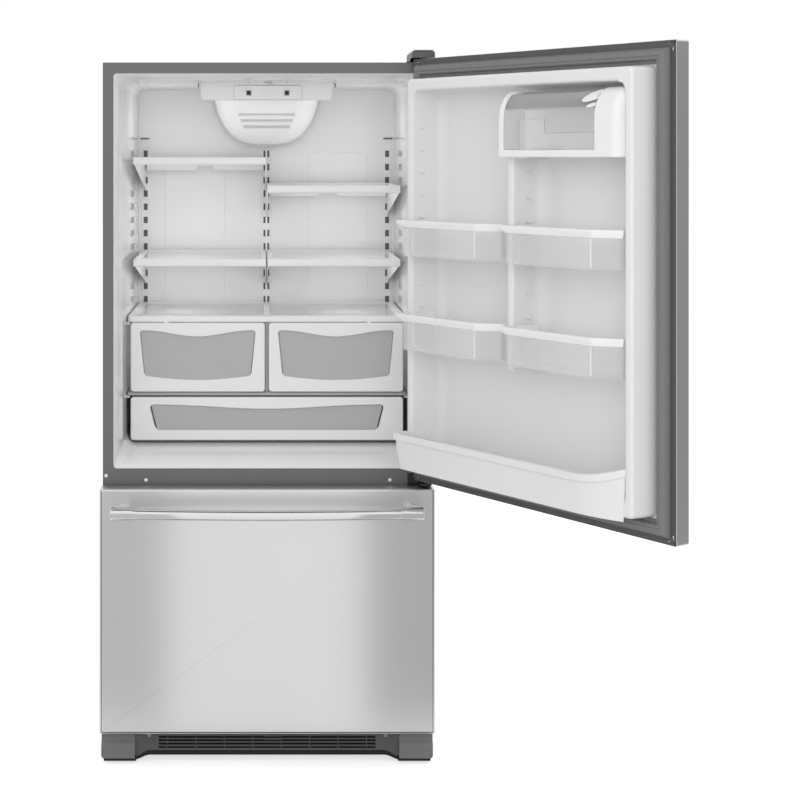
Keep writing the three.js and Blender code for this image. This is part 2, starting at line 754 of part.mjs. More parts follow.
function centreHingeBracket() {
  const x0 = axisX - hingePlateWidth + hingeArmHalf;
  const centreArmBottom = drawerTop + centreArmGap;
  const armTop = centreArmBottom + centreArmSheet;
  const x1 = axisX + hingeArmHalf;
  const plate = block(
    x0, x1, -bracketSheet - fit, -fit, centreArmBottom - centrePlateLap, armTop + centrePlateLap,
  );
  const arm = block(axisX - hingeArmHalf, x1, axisY, -fit, centreArmBottom, armTop);
  const nose = barZ(axisX, axisY, centreArmBottom, armTop, hingeArmHalf, 20);
  const pin = barZ(axisX, axisY, armTop - 1, doorBottom + pinLength, hingePinRadius, 16);
  return join(plate, arm, nose, pin);
}
piece('top_hinge_bracket', topHingeBracket(), blackSteel);
piece('top_hinge_cover', topHingeCover(), darkPlastic);
piece('centre_hinge_bracket', centreHingeBracket(), blackSteel);

// ---------------------------------------------------------------- door and drawer panels
// A pan: flat face, small rounded edges and a flange turned in behind, drawn in its closed place.
function panBody(low, high, inset, back) {
  const ring = (shrink) => roundRing(
    -halfDoor + shrink, halfDoor - shrink, low + shrink, high - shrink, Math.max(3, 4 - inset),
  );
  const front = outerFace + inset;
  return loft([
    ring(inset).map(atY(back)), ring(inset).map(atY(front + doorEdgeRadius)),
    ring(inset + doorEdgeRadius * 0.3).map(atY(front + doorEdgeRadius * 0.3)),
    ring(inset + doorEdgeRadius).map(atY(front)),
  ]);
}
const returnFlange = gasketInset + 6;
function panMouth(low, high, grow, y0, y1) {
  const edge = returnFlange - grow;
  return block(-halfDoor + edge, halfDoor - edge, y0, y1, low + edge, high - edge);
}
function panelSkin(low, high) {
  const hollow = panBody(low, high, sheet, innerFace - sheet);
  return cut(
    panBody(low, high, 0, innerFace), hollow, panMouth(low, high, 0, innerFace - sheet - 1, innerFace + 1),
  );
}
function panelCore(low, high) {
  return join(
    panBody(low, high, sheet + fit, innerFace - sheet - fit),
    panMouth(low, high, -fit, innerFace - sheet - fit - 1, innerFace),
  );
}
function gasket(low, high) {
  const ring = (inset) => roundRing(-halfDoor + inset, halfDoor - inset, low + inset, high - inset, 6);
  const frame = (outside, inside) => cut(
    loft([
      ring(outside + 4).map(atY(innerFace + fit)), ring(outside).map(atY(innerFace + fit + 6)),
      ring(outside).map(atY(-gasketGap - 3)), ring(outside + 3).map(atY(-gasketGap)),
    ]),
    loft([
      ring(inside - 4).map(atY(innerFace - 1)), ring(inside).map(atY(innerFace + fit + 6)),
      ring(inside - 3).map(atY(1)),
    ]),
  );
  return frame(gasketInset, gasketInset + gasketWidth);
}

// A handle drawn through place(along, out, across), with its ends on two posts.
function handle(place, face) {
  const circle = (along, out, radius, sides = 12) => repeat(sides, (i) => {
    const t = (turn * i) / sides;
    return place(along, out + radius * Math.cos(t), radius * Math.sin(t));
  });
  const bow = (along) => handleReach + handleBow * (1 - (along / handleHalf) ** 2);
  const barEnd = handleHalf - handleCapLength;
  const stations = [
    [-handleHalf, handleCap - 3], [-handleHalf + 3, handleCap], [-barEnd - 1, handleCap],
    [-barEnd, handleBar],
    ...repeat(7, (i) => [((i + 1) / 8 - 0.5) * 2 * barEnd, handleBar]),
    [barEnd, handleBar], [barEnd + 1, handleCap], [handleHalf - 3, handleCap], [handleHalf, handleCap - 3],
  ];
  const bar = loft(stations.map(([along, radius]) => circle(along, bow(along), radius)));
  const posts = sides.map((s) => {
    const along = s * (handleHalf - handlePostInset);
    const ring = (out, wide) => repeat(12, (i) => {
      const t = (turn * i) / 12;
      return place(along + wide * Math.cos(t), out, handlePost * Math.sin(t));
    });
    const neck = handlePost - 1;
    return loft([ring(face, handlePost + 2), ring(face + 14, neck), ring(bow(along), neck)]);
  });
  return join(bar, posts);
}
const drawerHandlePlace = (along, out, across) => (
  point(along, outerFace - out, drawerTop - drawerHandleDrop + across)
);
const doorHandleMiddle = doorBottom + doorHandleRise + handleHalf;
const doorHandlePlace = (along, out, across) => (
  point(-halfDoor + doorHandleInset + across, outerFace - out, doorHandleMiddle + along)
);

// ---------------------------------------------------------------- door liner
// Across the door, u runs from the hinge side's inner corner; h rises out of the inner face.
const doorX = (u) => halfDoor - 1.5 - u;
const doorY = (h) => innerFace + h;
const dykeOut = halfDoor - dykeInset;
const dykeLow = doorBottom + dykeInset;
const dykeHigh = doorTop - dykeInset;
const linerFloor = doorY(-linerSink);
const crestY = doorY(dykeHeight);
const recessFoot = dykeOut - dykeFoot;
const recessCrest = dykeOut - dykeCrest;
const bottomWall = 8;

function doorLiner() {
  const outer = loft([
    roundRing(-dykeOut, dykeOut, dykeLow, dykeHigh, 26).map(atY(innerFace - 1)),
    roundRing(-dykeOut + 2, dykeOut - 2, dykeLow + 1, dykeHigh - 2, 26).map(atY(crestY - 8)),
    roundRing(-dykeOut + 7, dykeOut - 7, dykeLow + 4, dykeHigh - 7, 24).map(atY(crestY)),
  ]);
  const ring = (half, low, high) => roundRing(-half, half, low, high, 20);
  const recess = loft([
    ring(recessFoot, dykeLow + bottomWall, dykeHigh - dykeFoot - 9).map(atY(linerFloor)),
    ring(recessCrest - 2, dykeLow + bottomWall, dykeHigh - dykeCrest - 12).map(atY(crestY - 8)),
    ring(recessCrest - 6, dykeLow + 6, dykeHigh - dykeCrest - 8).map(atY(crestY + 1)),
  ]);
  const half = (crest) => crest / 2;
  const top = dykeHigh - dykeFoot;
  const pilaster = loft([
    roundRing(-half(pilasterFoot), half(pilasterFoot), pilasterBottom - 12, top, 8).map(atY(linerFloor - 1)),
    roundRing(-half(pilasterCrest) - 2, half(pilasterCrest) + 2, pilasterBottom, top, 8).map(atY(crestY - 6)),
    roundRing(-half(pilasterCrest) + 3, half(pilasterCrest) - 3, pilasterBottom + 3, top, 5).map(atY(crestY)),
  ]);
  const pinHoles = [[doorTop - pinLength - 2, doorTop + 1], [doorBottom - 1, doorBottom + pinLength + 2]];
  const holes = pinHoles.map(([z0, z1]) => barZ(axisX, axisY, z0, z1, hingePinRadius + fit, 16));
  return cut(join(cut(join(panelCore(doorBottom, doorTop), outer), recess), pilaster), holes);
}
function doorSkin() {
  const holes = [doorTop, doorBottom].map((z) => barZ(axisX, axisY, z - 3, z + 3, hingePinRadius + fit, 16));
  return cut(panelSkin(doorBottom, doorTop), holes);
}

piece('door_skin', doorSkin(), stainless, door);
piece('door_liner', doorLiner(), whitePlastic, door);
piece('door_gasket', gasket(doorBottom, doorTop), rubber, door);
piece('door_handle', handle(doorHandlePlace, fit), stainless, door);

// ---------------------------------------------------------------- door bins
// A bin hangs in front of the dykes' crests, with a tongue of its floor and walls back into the recess.
const binBack = 6;
const binSeat = dykeHeight + fit;
function binFront(u0, u1, reach, corner, inset) {
  const deep = reach - binSeat - inset;
  const wide = corner - inset;
  const overlap = inset > 0 ? 2 : 0;
  return [
    [u0 + inset, binSeat - overlap],
    ...arc(u0 + corner, binSeat, wide, deep, 180, 90, 5).slice(1),
    ...repeat(5, (i) => {
      const t = (i + 1) / 6;
      return [u0 + corner + t * (u1 - u0 - 2 * corner), reach - inset + 3 * Math.sin(Math.PI * t)];
    }),
    ...arc(u1 - corner, binSeat, wide, deep, 90, 0, 5).slice(0, -1),
    [u1 - inset, binSeat - overlap],
  ];
}
const doorPoint = (z) => ([u, h]) => point(doorX(u), doorY(h), z);
function doorBin(u0, u1, backU0, backU1, top) {
  const bottom = top - binHeight;
  const shell = (inset, z0, z1, grow = 0) => join(
    loft([z0, z1].map((z) => binFront(u0 - grow, u1 + grow, binDepth + grow - rimOverhang, binCorner, inset)
      .map(doorPoint(z)))),
    block(
      doorX(backU1 - inset), doorX(backU0 + inset), doorY(binBack + inset), doorY(binSeat + 1 + inset),
      z0, z1,
    ),
  );
  const rim = loft([
    [0, top - rimHeight], [0, top - 4], [2, top],
  ].map(([inset, z]) => (
    binFront(u0 - rimOverhang + inset / 2, u1 + rimOverhang - inset / 2, binDepth - inset, binCorner, 0)
      .map(doorPoint(z)))));
  return cut(join(shell(0, bottom, top - 1), rim), shell(binWall, bottom + binWall, top + 1));
}
const hingeBin = [dykeInset + 14, halfDoor - 1.5 - 6];
const handleBin = [halfDoor - 1.5 + 6, doorWidth - dykeInset - 17];
const hingeBack = [dykeInset - 1.5 + dykeFoot + 2, halfDoor - 1.5 - pilasterFoot / 2 - 2];
const handleBack = [halfDoor - 1.5 + pilasterFoot / 2 + 2, doorWidth - dykeInset - dykeFoot - 3.5];
[['upper', upperBinTop], ['lower', lowerBinTop]].forEach(([level, top]) => {
  piece(`door_bin_${level}_hinge_side`, doorBin(...hingeBin, ...hingeBack, top), clearPlastic, door);
  piece(`door_bin_${level}_handle_side`, doorBin(...handleBin, ...handleBack, top), clearPlastic, door);
});

// The fixed bottom bin closes the space between the two dykes with a deep curved wall.
function bottomBin() {
  const u0 = dykeInset + 4;
  const u1 = doorWidth - dykeInset - 8;
  const bottom = dykeLow + 2;
  const top = bottom + bottomBinHeight;
  const wall = (inset, z) => binFront(u0, u1, binDepth, bottomBinCorner, inset).map(doorPoint(z));
  const body = loft([wall(6, bottom), wall(0, bottom + 14), wall(0, top - 4), wall(2, top)]);
  const hollow = loft([wall(8 + binWall, bottom + 6), wall(binWall, bottom + 18), wall(binWall, top + 1)]);
  const behind = block(
    doorX(u1 + 1), doorX(u0 - 1), doorY(binSeat - 12), doorY(binSeat), bottom - 1, top + 2,
  );
  return cut(body, hollow, behind);
}
piece('door_bin_bottom', bottomBin(), whitePlastic, door);

// ---------------------------------------------------------------- dairy compartment
const dairyU0 = halfDoor - 1.5 - pilasterCrest / 2 - 2;
const dairyU1 = doorWidth - dykeInset - 14;
const dairyWindow0 = dairyU0 + dairyCheek;
const dairyWindow1 = dairyU1 - dairyFairing;
const dairyAxisH = dykeHeight + dairyAxisOut;
const dairyAxisZ = dairyTop - dairyAxisDrop;
// The front's outline in h and z, pulled in by an inset, with its round upper edge.
function dairyProfile(back, inset, bottom) {
  const r = dairyRadius - inset;
  const rh = Math.min(r, dairyReach - inset - back);
  return [
    [doorY(back), bottom], [doorY(dairyReach - inset), bottom],
    ...arc(doorY(dairyReach - inset) - rh, dairyTop - inset - r, rh, r, 0, 90, 6),
  ];
}
function dairyHousing() {
  const whole = prismX(dairyProfile(binSeat, 0, dairyBottom), doorX(dairyU1), doorX(dairyU0));
  const opening = (back, top) => block(
    doorX(dairyWindow1), doorX(dairyWindow0), doorY(back), doorY(dairyReach) + 1, dairyBottom + dairyLip, top,
  );
  const windowCut = join(
    opening(binSeat - 1, dairyTop - dairyRailHeight), opening(dykeHeight + dairyRail, dairyTop + 1),
  );
  const floor = block(
    doorX(handleBack[1]), doorX(handleBack[0]), doorY(binBack), doorY(binSeat + 1),
    dairyBottom, dairyBottom + 4,
  );
  const pinHole = barX(
    doorX(dairyWindow1) - 8, doorX(dairyWindow0) + 5, doorY(dairyAxisH), dairyAxisZ, dairyPin + fit, 12,
  );
  return cut(join(cut(whole, windowCut), floor), pinHole);
}
function dairyCover() {
  const outer = dairyProfile(binSeat + 2, 2, dairyBottom + dairyLip + running);
  const inner = dairyProfile(binSeat + 1, 2 + dairyCoverWall, dairyBottom + dairyLip);
  const x0 = doorX(dairyWindow1) + running;
  const x1 = doorX(dairyWindow0) - running;
  const shell = cut(prismX(outer, x0, x1), prismX(inner, x0 - 1, x1 + 1));
  const swingSpace = block(
    x0 - 1, x1 + 1, doorY(binSeat), doorY(dykeHeight + dairyRail + running), dairyAxisZ, dairyTop + 1,
  );
  const lugs = [[x0, x0 + 3], [x1 - 3, x1]].map(([a, b]) => (
    cut(
      prismX(outer, a, b),
      block(a - 1, b + 1, doorY(binSeat), doorY(dairyReach) + 1, 0, dairyAxisZ - dairyRadius + 22),
    )));
  const pins = [[x0 - 5, x0 + 1], [x1 - 1, x1 + 4]].map(([a, b]) => (
    barX(a, b, doorY(dairyAxisH), dairyAxisZ, dairyPin, 12)));
  const lip = block(
    (x0 + x1) / 2 - 40, (x0 + x1) / 2 + 40, doorY(dairyReach - 3), doorY(dairyReach + 5),
    dairyBottom + dairyLip + 3, dairyBottom + dairyLip + 6,
  );
  return join(cut(join(shell, lugs), swingSpace), pins, lip);
}
piece('dairy_housing', dairyHousing(), whitePlastic, door);
piece('dairy_cover', dairyCover(), clearPlastic, door);

// ---------------------------------------------------------------- freezer drawer
function drawerLiner() {
  const raised = loft([
    roundRing(-dykeOut, dykeOut, drawerBottom + dykeInset, drawerTop - dykeInset, 26).map(atY(innerFace - 1)),
    roundRing(-dykeOut + 6, dykeOut - 6, drawerBottom + dykeInset + 6, drawerTop - dykeInset - 6, 22)
      .map(atY(innerFace + 8)),
  ]);
  return join(panelCore(drawerBottom, drawerTop), raised);
}
const drawerLinerFace = innerFace + 8;
piece('drawer_skin', panelSkin(drawerBottom, drawerTop), stainless);
piece('drawer_liner', drawerLiner(), whitePlastic);
piece('drawer_gasket', gasket(drawerBottom, drawerTop), rubber);
piece('drawer_handle', handle(drawerHandlePlace, fit), stainless);

// Slides: a rail on each liner wall, a middle member, and the carrier that is bolted to the drawer's panel.
const railOut = innerHalf - fit;
const memberOut = railOut - slideThickness + slideMember;
const carrierOut = memberOut - slideMember - running;
const span = (s, a, b) => [s * a, s * b].sort((p, q) => p - q);

function slideRail(s) {
  const [x0, x1] = span(s, railOut, railOut - slideThickness);
  const [c0, c1] = span(s, railOut - 2, railOut - slideThickness - 1);
  const front = flareDepth;
  return cut(
    block(x0, x1, front, slideBack, slideLow, slideHigh),
    block(c0, c1, front - 1, slideBack + 1, slideLow + railLip, slideHigh - railLip),
  );
}
function slideMiddleMember(s) {
  const [x0, x1] = span(s, memberOut - running, memberOut - slideMember);
  const edge = railLip + fit;
  return block(x0, x1, slideFront + 10, slideBack - 10, slideLow + edge, slideHigh - edge);
}
function basketCarrier() {
  const arms = sides.map((s) => {
    const [x0, x1] = span(s, carrierOut, carrierOut - carrierThickness);
    return block(
      x0, x1, drawerLinerFace + fit, slideBack - 20, slideLow + carrierSpace, slideHigh - carrierSpace,
    );
  });
  const feet = sides.map((s) => {
    const [x0, x1] = span(s, carrierOut, carrierOut - carrierFoot);
    const front = drawerLinerFace + fit;
    return block(x0, x1, front, front + bracketSheet, slideLow - carrierFoot, slideHigh + 10);
  });
  const rearLow = slideLow + carrierSpace;
  const rear = block(-carrierOut, carrierOut, slideBack - 32, slideBack - 20, rearLow, rearLow + 12);
  return join(arms, feet, rear);
}
// A pressed basket: a tapered tub with a turned-out rim and slots through its walls.
function basket({ half, front, back, bottom, top, rim, slotRows }) {
  const ring = (inset, z) => (
    roundRing(-half + inset, half - inset, front + inset, back - inset, basketCorner).map(atZ(z)));
  const body = loft([ring(basketTaper, bottom), ring(0, top)]);
  const hollow = loft([ring(basketTaper + basketWall, bottom + basketWall), ring(basketWall, top + 1)]);
  const rimRing = roundRing(-half - rim, half + rim, front, back, basketCorner);
  const flange = loft([rimRing.map(atZ(top - basketWall)), rimRing.map(atZ(top))]);
  const first = -half + basketSlotEnd;
  const pitch = (2 * -first - basketSlotWidth) / (basketSlots - 1);
  const slots = repeat(slotRows, (row) => repeat(basketSlots, (i) => {
    const x = first + i * pitch;
    const z = bottom + basketSlotRise + row * basketSlotPitch;
    return block(x, x + basketSlotWidth, front - 5, back + 5, z, z + basketSlotHeight);
  })).flat();
  return cut(join(body, flange), hollow, slots);
}
sides.forEach((s) => {
  const side = s < 0 ? 'left' : 'right';
  piece(`slide_rail_${side}`, slideRail(s), zincSteel);
  piece(`slide_member_${side}`, slideMiddleMember(s), zincSteel);
});
piece('basket_carrier', basketCarrier(), zincSteel);
piece('freezer_basket', basket({
  half: carrierOut - carrierThickness - running, front: basketFront, back: freezerLowBack - basketBackSpace,
  bottom: basketBottom, top: slideHigh - carrierSpace + fit + basketWall, rim: basketRim, slotRows: 3,
}), whitePlastic);
piece('freezer_basket_upper', basket({
  half: innerHalf - shelfLedge - 3, front: upperBasketFront, back: evaporatorCoverFace - upperBasketBackSpace,
  bottom: upperBasketBottom, top: upperBasketTop, rim: upperBasketRim, slotRows: 2,
}), whitePlastic);

// ---------------------------------------------------------------- shelves
const ladderFace = fridgeBack - fit - ladderThickness;
function shelf(s, top) {
  const [x0, x1] = span(s, shelfGap / 2, innerHalf - shelfSideSpace);
  const back = ladderFace - 12;
  const plate = block(x0, x1, shelfFront, back, top - shelfFrame, top);
  const rise = shelfRim - shelfFrame;
  const nose = prismX([
    [shelfFront + 22, top - shelfFrame - rise], [shelfFront + 4, top - shelfRim],
    [shelfFront, top - shelfRim + 5], [shelfFront, top - 5], [shelfFront + 4, top], [shelfFront + 22, top],
  ], x0, x1);
  const glassTop = block(x0 + 12, x1 - 12, shelfFront + 24, back - 16, top - 1.5, top + 1);
  const glassUnder = block(
    x0 + 12, x1 - 12, shelfFront + 24, back - 16, top - shelfFrame - 1, top - 1.5 - shelfGlass,
  );
  const rear = block(x0 + 6, x1 - 6, back - 14, back, top - shelfRearDrop, top - 2);
  const middle = (x0 + x1) / 2;
  const half = shelfNotch / 2;
  const low = top - shelfRearDrop;
  const notch = prismY([
    [middle - half - 10, low - 1], [middle + half + 10, low - 1], [middle + half, low + 12],
    [middle - half, low + 12],
  ], back - 20, back + 1);
  const arms = [x0, x1 - bracketThickness].map((x) => prismX([
    [shelfFront + 12, top - 8], [shelfFront + 20, top - shelfRim + 2], [ladderFace - fit, top - bracketDrop],
    [ladderFace - fit, top - 8],
  ], x, x + bracketThickness));
  return join(cut(join(plate, nose), glassTop, glassUnder), cut(rear, notch), arms);
}
piece('shelf_upper_left', shelf(-1, upperLeftShelf), whitePlastic);
piece('shelf_upper_right', shelf(1, upperRightShelf), whitePlastic);
piece('shelf_lower_left', shelf(-1, lowerShelf), whitePlastic);
piece('shelf_lower_right', shelf(1, lowerShelf), whitePlastic);

const ladderMiddle = innerHalf - ladderInset;
const ladderTop = upperLeftShelf + ladderOverShelf;
const ladderBottom = crisperCoverTop - ladderUnderCover;
const slotBottom = ladderBottom + slotLowEnd;
const slotCount = 1 + Math.floor((ladderTop - slotHighEnd - slotBottom) / slotPitch + 0.001);
const slotTop = slotBottom + (slotCount - 1) * slotPitch;
function ladder(middle, columns, width, top) {
  const half = ladderWidth / 2;
  const strip = block(
    middle - half, middle + half, ladderFace, ladderFace + ladderThickness, ladderBottom, top,
  );
  const slots = columns.flatMap((x) => repeat(slotCount, (i) => {
    const z = slotTop - i * slotPitch;
    return block(
      middle + x - width / 2, middle + x + width / 2, ladderFace - 1, ladderFace + ladderThickness + 1,
      z - slotHeight / 2, z + slotHeight / 2,
    );
  }));
  return cut(strip, slots);
}
piece('shelf_ladder_left', ladder(-ladderMiddle, [0], slotWidth, ladderTop), whitePlastic);
piece('shelf_ladder_right', ladder(ladderMiddle, [0], slotWidth, ladderTop), whitePlastic);
piece('shelf_ladder_centre', ladder(
  0, [-centreSlotOffset, centreSlotOffset], centreSlotWidth, slotTop + slotHeight,
), whitePlastic);

// ---------------------------------------------------------------- crispers and deli drawer
const coverBack = ladderFace - 8;
const coverHalfWidth = innerHalf - coverSideSpace;
const crisperHalfWidth = innerHalf - shelfLedge - crisperSideSpace;
function crisperCover() {
  const low = crisperCoverTop - crisperCoverHeight;
  const plate = block(-coverHalfWidth, coverHalfWidth, shelfFront + 2, coverBack, low, crisperCoverTop);
  const nose = block(
    -crisperHalfWidth, crisperHalfWidth, shelfFront - 4, shelfFront + 3, low, crisperCoverTop,
  );
  const panes = sides.map((s) => {
    const [x0, x1] = span(s, 8, coverHalfWidth - 22);
    return block(x0, x1, shelfFront + 26, coverBack - 18, crisperCoverTop - 2, crisperCoverTop + 1);
  });
  const under = sides.map((s) => {
    const [x0, x1] = span(s, 8, coverHalfWidth - 22);
    return block(x0, x1, shelfFront + 26, coverBack - 18, low - 1, crisperCoverTop - 2 - shelfGlass);
  });
  return cut(join(plate, nose), panes, under);
}
function deliCover() {
  const low = deliCoverTop - deliCoverHeight;
  const plate = block(-coverHalfWidth, coverHalfWidth, shelfFront + 2, coverBack, low, deliCoverTop);
  const nose = block(-crisperHalfWidth, crisperHalfWidth, shelfFront - 2, shelfFront + 3, low, deliCoverTop);
  return join(plate, nose);
}
// The outline of a drawer's window: a wavy upper edge, leaning sides and a lower edge that sags.
function windowOutline(x0, x1, high, window) {
  const top = high - window.drop;
  const upper = repeat(13, (i) => {
    const t = i / 12;
    const swell = (1 - Math.cos(turn * t)) / 2;
    return [x1 - window.side - t * (x1 - x0 - 2 * window.side), top - window.dip * swell ** 1.3];
  });
  const lower = repeat(7, (i) => {
    const t = i / 6;
    return [
      x0 + window.lowSide + t * (x1 - x0 - 2 * window.lowSide),
      top - window.height - window.sag * Math.sin(Math.PI * t),
    ];
  });
  return [...upper, ...lower];
}
// A drawer: a thick front with a recessed window and an open tub behind it.
function crisper(x0, x1, low, high, seat, window) {
  const top = high - crisperTubDrop;
  const face = shelfFront - crisperFrontThickness + 4;
  const front = loft([
    roundRing(x0, x1, low, high, 10).map(atY(shelfFront + 4)),
    roundRing(x0, x1, low, high, 10).map(atY(face + 6)),
    roundRing(x0 + 5, x1 - 5, low + 5, high - 5, 8).map(atY(face)),
  ]);
  const ring = (inset, z) => roundRing(
    x0 + crisperInset + inset, x1 - crisperInset - inset, shelfFront + 2 + inset,
    fridgeBack - crisperBackSpace - inset, 16,
  ).map(atZ(z));
  const tubBody = loft([ring(8, seat), ring(0, top)]);
  const hollow = loft([ring(8 + crisperWall, seat + crisperWall), ring(crisperWall, high + 1)]);
  const opening = prismY(windowOutline(x0, x1, high, window), face - 1, face + windowRecess);
  return cut(join(front, tubBody), hollow, opening);
}
piece('crisper_cover', crisperCover(), whitePlastic);
piece('deli_cover', deliCover(), whitePlastic);
const crisperSeat = deliCoverTop + fit;
sides.forEach((s) => {
  const [x0, x1] = span(s, crisperSpacing / 2, crisperHalfWidth);
  const name = s < 0 ? 'crisper_left' : 'crisper_right';
  piece(name, crisper(x0, x1, crisperBottom, crisperTop, crisperSeat, crisperWindow), whitePlastic);
});
piece('deli_drawer', crisper(
  -crisperHalfWidth, crisperHalfWidth, deliBottom, deliTop, fridgeFloor + fit, deliWindow,
), whitePlastic);

// ---------------------------------------------------------------- controls and light
const controlTop = fridgeCeiling - fit;
const controlBack = fridgeBack - controlBackSpace;
const buttonHeight = controlBottom + buttonRise;
function controlFaceY(z) {
  return controlFront + (controlLean * (controlTop - z)) / (controlTop - controlBottom);
}
const buttonFace = controlFaceY(buttonHeight);
function controlHousing() {
  const body = loft([
    roundRing(-controlHalfBottom, controlHalfBottom, controlFront + controlLean, controlBack, 5)
      .map(atZ(controlBottom)),
    roundRing(-controlHalfTop, controlHalfTop, controlFront, controlBack, 5).map(atZ(controlTop)),
  ]);
  const wells = buttonPlaces.map((x) => barY(
    x, buttonFace - 10, buttonFace + buttonDepth + 1, buttonHeight, buttonRadius + fit, 16,
  ));
  return cut(body, wells);
}
function controlButton(x) {
  const front = buttonFace - buttonProud;
  return barY(x, front, front + buttonDepth, buttonHeight, buttonRadius, 16);
}
function lightLens() {
  const top = controlBottom - fit;
  const back = fridgeBack - fit;
  const rings = repeat(8, (i) => {
    const t = (i / 7) * 0.985;
    const z = top - t * (top - lensBottom);
    const half = lensHalfWidth * Math.sqrt(1 - t * t);
    const deep = (back - controlFront - lensSetback) * (1 - t ** 1.7) + 8;
    return arc(0, back, half, -deep, 0, 180, 12).map(([x, y]) => point(x, y, z));
  });
  return loft(rings);
}
piece('control_housing', controlHousing(), whitePlastic);
buttonPlaces.forEach((x, i) => piece(`control_button_${i + 1}`, controlButton(x), whitePlastic));
piece('light_lens', lightLens(), clearPlastic);

// ---------------------------------------------------------------- cooling parts
// A flat serpentine tube: rows along x joined by half turns, in the plane of the given y.
function serpentine(middle, half, low, pitch, rows, radius, y, sidesCount = 6) {
  const centre = [];
  repeat(rows, (row) => {
    const z = low + row * pitch;
    const s = row % 2 ? -1 : 1;
    centre.push([-s * half, z], [s * half, z]);
    if (row < rows - 1) {
      arc(s * half, z + pitch / 2, (s * pitch) / 2, pitch / 2, -90, 90, 5).slice(1, -1)
        .forEach((p) => centre.push(p));
    }
  });
  const rings = centre.map(([x, z], i) => {
    const [ax, az] = centre[Math.max(0, i - 1)];
    const [bx, bz] = centre[Math.min(centre.length - 1, i + 1)];
    const length = Math.hypot(bx - ax, bz - az);
    const nx = -(bz - az) / length;
    const nz = (bx - ax) / length;
    return repeat(sidesCount, (k) => {
      const t = (turn * k) / sidesCount;
      const out = radius * Math.cos(t);
      return point(middle + x + nx * out, y + radius * Math.sin(t), z + nz * out);
    });
  });
  return loft(rings);
}
const fanHeight = freezerCeiling - fanDrop;
const fanFront = evaporatorCoverFace + motorLength;
function evaporatorCover() {
  const half = innerHalf - fit;
  const low = stepHeight + fit;
  const high = freezerCeiling - fit;
  const face = evaporatorCoverFace;
  const back = face + evaporatorSheet;
  const plate = prismY(roundRing(-half, half, low, high, mouthRadius), face, back);
  const fanHole = barY(0, face - 1, back + 1, fanHeight, fanRadius - 6, 24);
  const pitch = (2 * (half - returnEnd) - returnWidth) / (returnSlots - 1);
  const returns = repeat(returnSlots, (i) => {
    const x = -half + returnEnd + i * pitch;
    return block(x, x + returnWidth, face - 1, back + 1, low + returnRise, low + returnRise + returnHeight);
  });
  const spokes = repeat(3, (i) => {
    const t = (turn * i) / 3 + turn / 4;
    const from = point(0, face + 2, fanHeight);
    return rod(from, point(fanRadius * Math.cos(t), from.y, fanHeight + fanRadius * Math.sin(t)), 2, 6);
  });
  const motor = barY(0, face, fanFront, fanHeight, motorRadius, 16);
  const shaft = barY(0, fanFront - 1, fanFront + fanDepth, fanHeight, shaftRadius, 12);
  return join(cut(plate, fanHole, returns), spokes, motor, shaft);
}
// A fan: a hub with a shaft hole and pitched blades, its axis along y.
function fan(x, y, z) {
  const hub = barY(x, y, y + fanDepth, z, fanHub, 16);
  const blade = (turnBy) => {
    const a = Math.cos(turnBy);
    const b = Math.sin(turnBy);
    const corner = (out, side, depth) => point(x + a * out - b * side, y + depth, z + b * out + a * side);
    const leaf = (out, width) => [
      corner(out, -width, 2), corner(out, -width + 3, 2), corner(out, width, fanDepth - 2),
      corner(out, width - 3, fanDepth - 2),
    ];
    return loft([leaf(fanHub - 4, 9), leaf(fanRadius * 0.7, 15), leaf(fanRadius - 9, 13)]);
  };
  const blades = repeat(fanBlades, (i) => blade((turn * i) / fanBlades));
  return cut(join(hub, blades), barY(x, y - 1, y + fanDepth + 1, z, shaftRadius + fit, 12));
}
const evaporatorLow = stepHeight + evaporatorRise;
piece('evaporator_cover', evaporatorCover(), whitePlastic);
piece('evaporator_fan', fan(0, fanFront + fit, fanHeight), darkPlastic);
piece('evaporator_coil', serpentine(
  0, innerHalf - evaporatorEnd, evaporatorLow,
  (fanHeight - fanRadius - evaporatorLow - 12) / (evaporatorRows - 1),
  evaporatorRows, evaporatorTube, freezerHighBack - evaporatorTube - fit,
), zincSteel);

// The compressor: a domed steel can on a foot plate, with its suction stub.
function compressor() {
  const y = (machineFront + cabinetDepth) / 2;
  const low = baseTop + fit;
  const band = compressorHeight / 2;
  const wide = compressorRadius + compressorBand;
  const can = [
    [0, compressorLift], [compressorRadius * 0.8, compressorLift],
    [compressorRadius, compressorShoulder * 0.85], [compressorRadius, band], [wide, band], [wide, band + 6],
    [compressorRadius, band + 6], [compressorRadius, compressorHeight - compressorShoulder],
    [compressorRadius * 0.78, compressorHeight - compressorShoulder * 0.3],
    [compressorRadius * 0.35, compressorHeight], [0, compressorHeight],
  ].map(([r, z]) => new THREE.Vector2(r, z));
  const shell = solid(new THREE.LatheGeometry(can, 18).rotateX(Math.PI / 2).translate(compressorX, y, low));
  const plate = block(
    compressorX - compressorPlateHalf, compressorX + compressorPlateHalf,
    y - compressorPlateDepth, y + compressorPlateDepth, low + compressorLift - 4, low + compressorLift + 2,
  );
  const feet = sides.flatMap((s) => sides.map((t) => barZ(
    compressorX + s * compressorFootPlace, y + t * compressorFootDepth, low, low + compressorLift,
    compressorFootRadius, 8,
  )));
  const lid = low + compressorHeight;
  const stub = barZ(
    compressorX + compressorRadius / 2, y, lid - suctionLength, lid + suctionLength, suctionTube, 10,
  );
  return join(shell, plate, feet, stub);
}
piece('compressor', compressor(), blackSteel);
piece('condenser_coil', serpentine(
  condenserX, condenserHalf, baseTop + fit + condenserTube, condenserPitch, condenserRows, condenserTube,
  cabinetDepth - condenserBackSpace,
), copper);
piece('condenser_fan', fan(condenserFanX, condenserFanY + fit, condenserFanZ), darkPlastic);

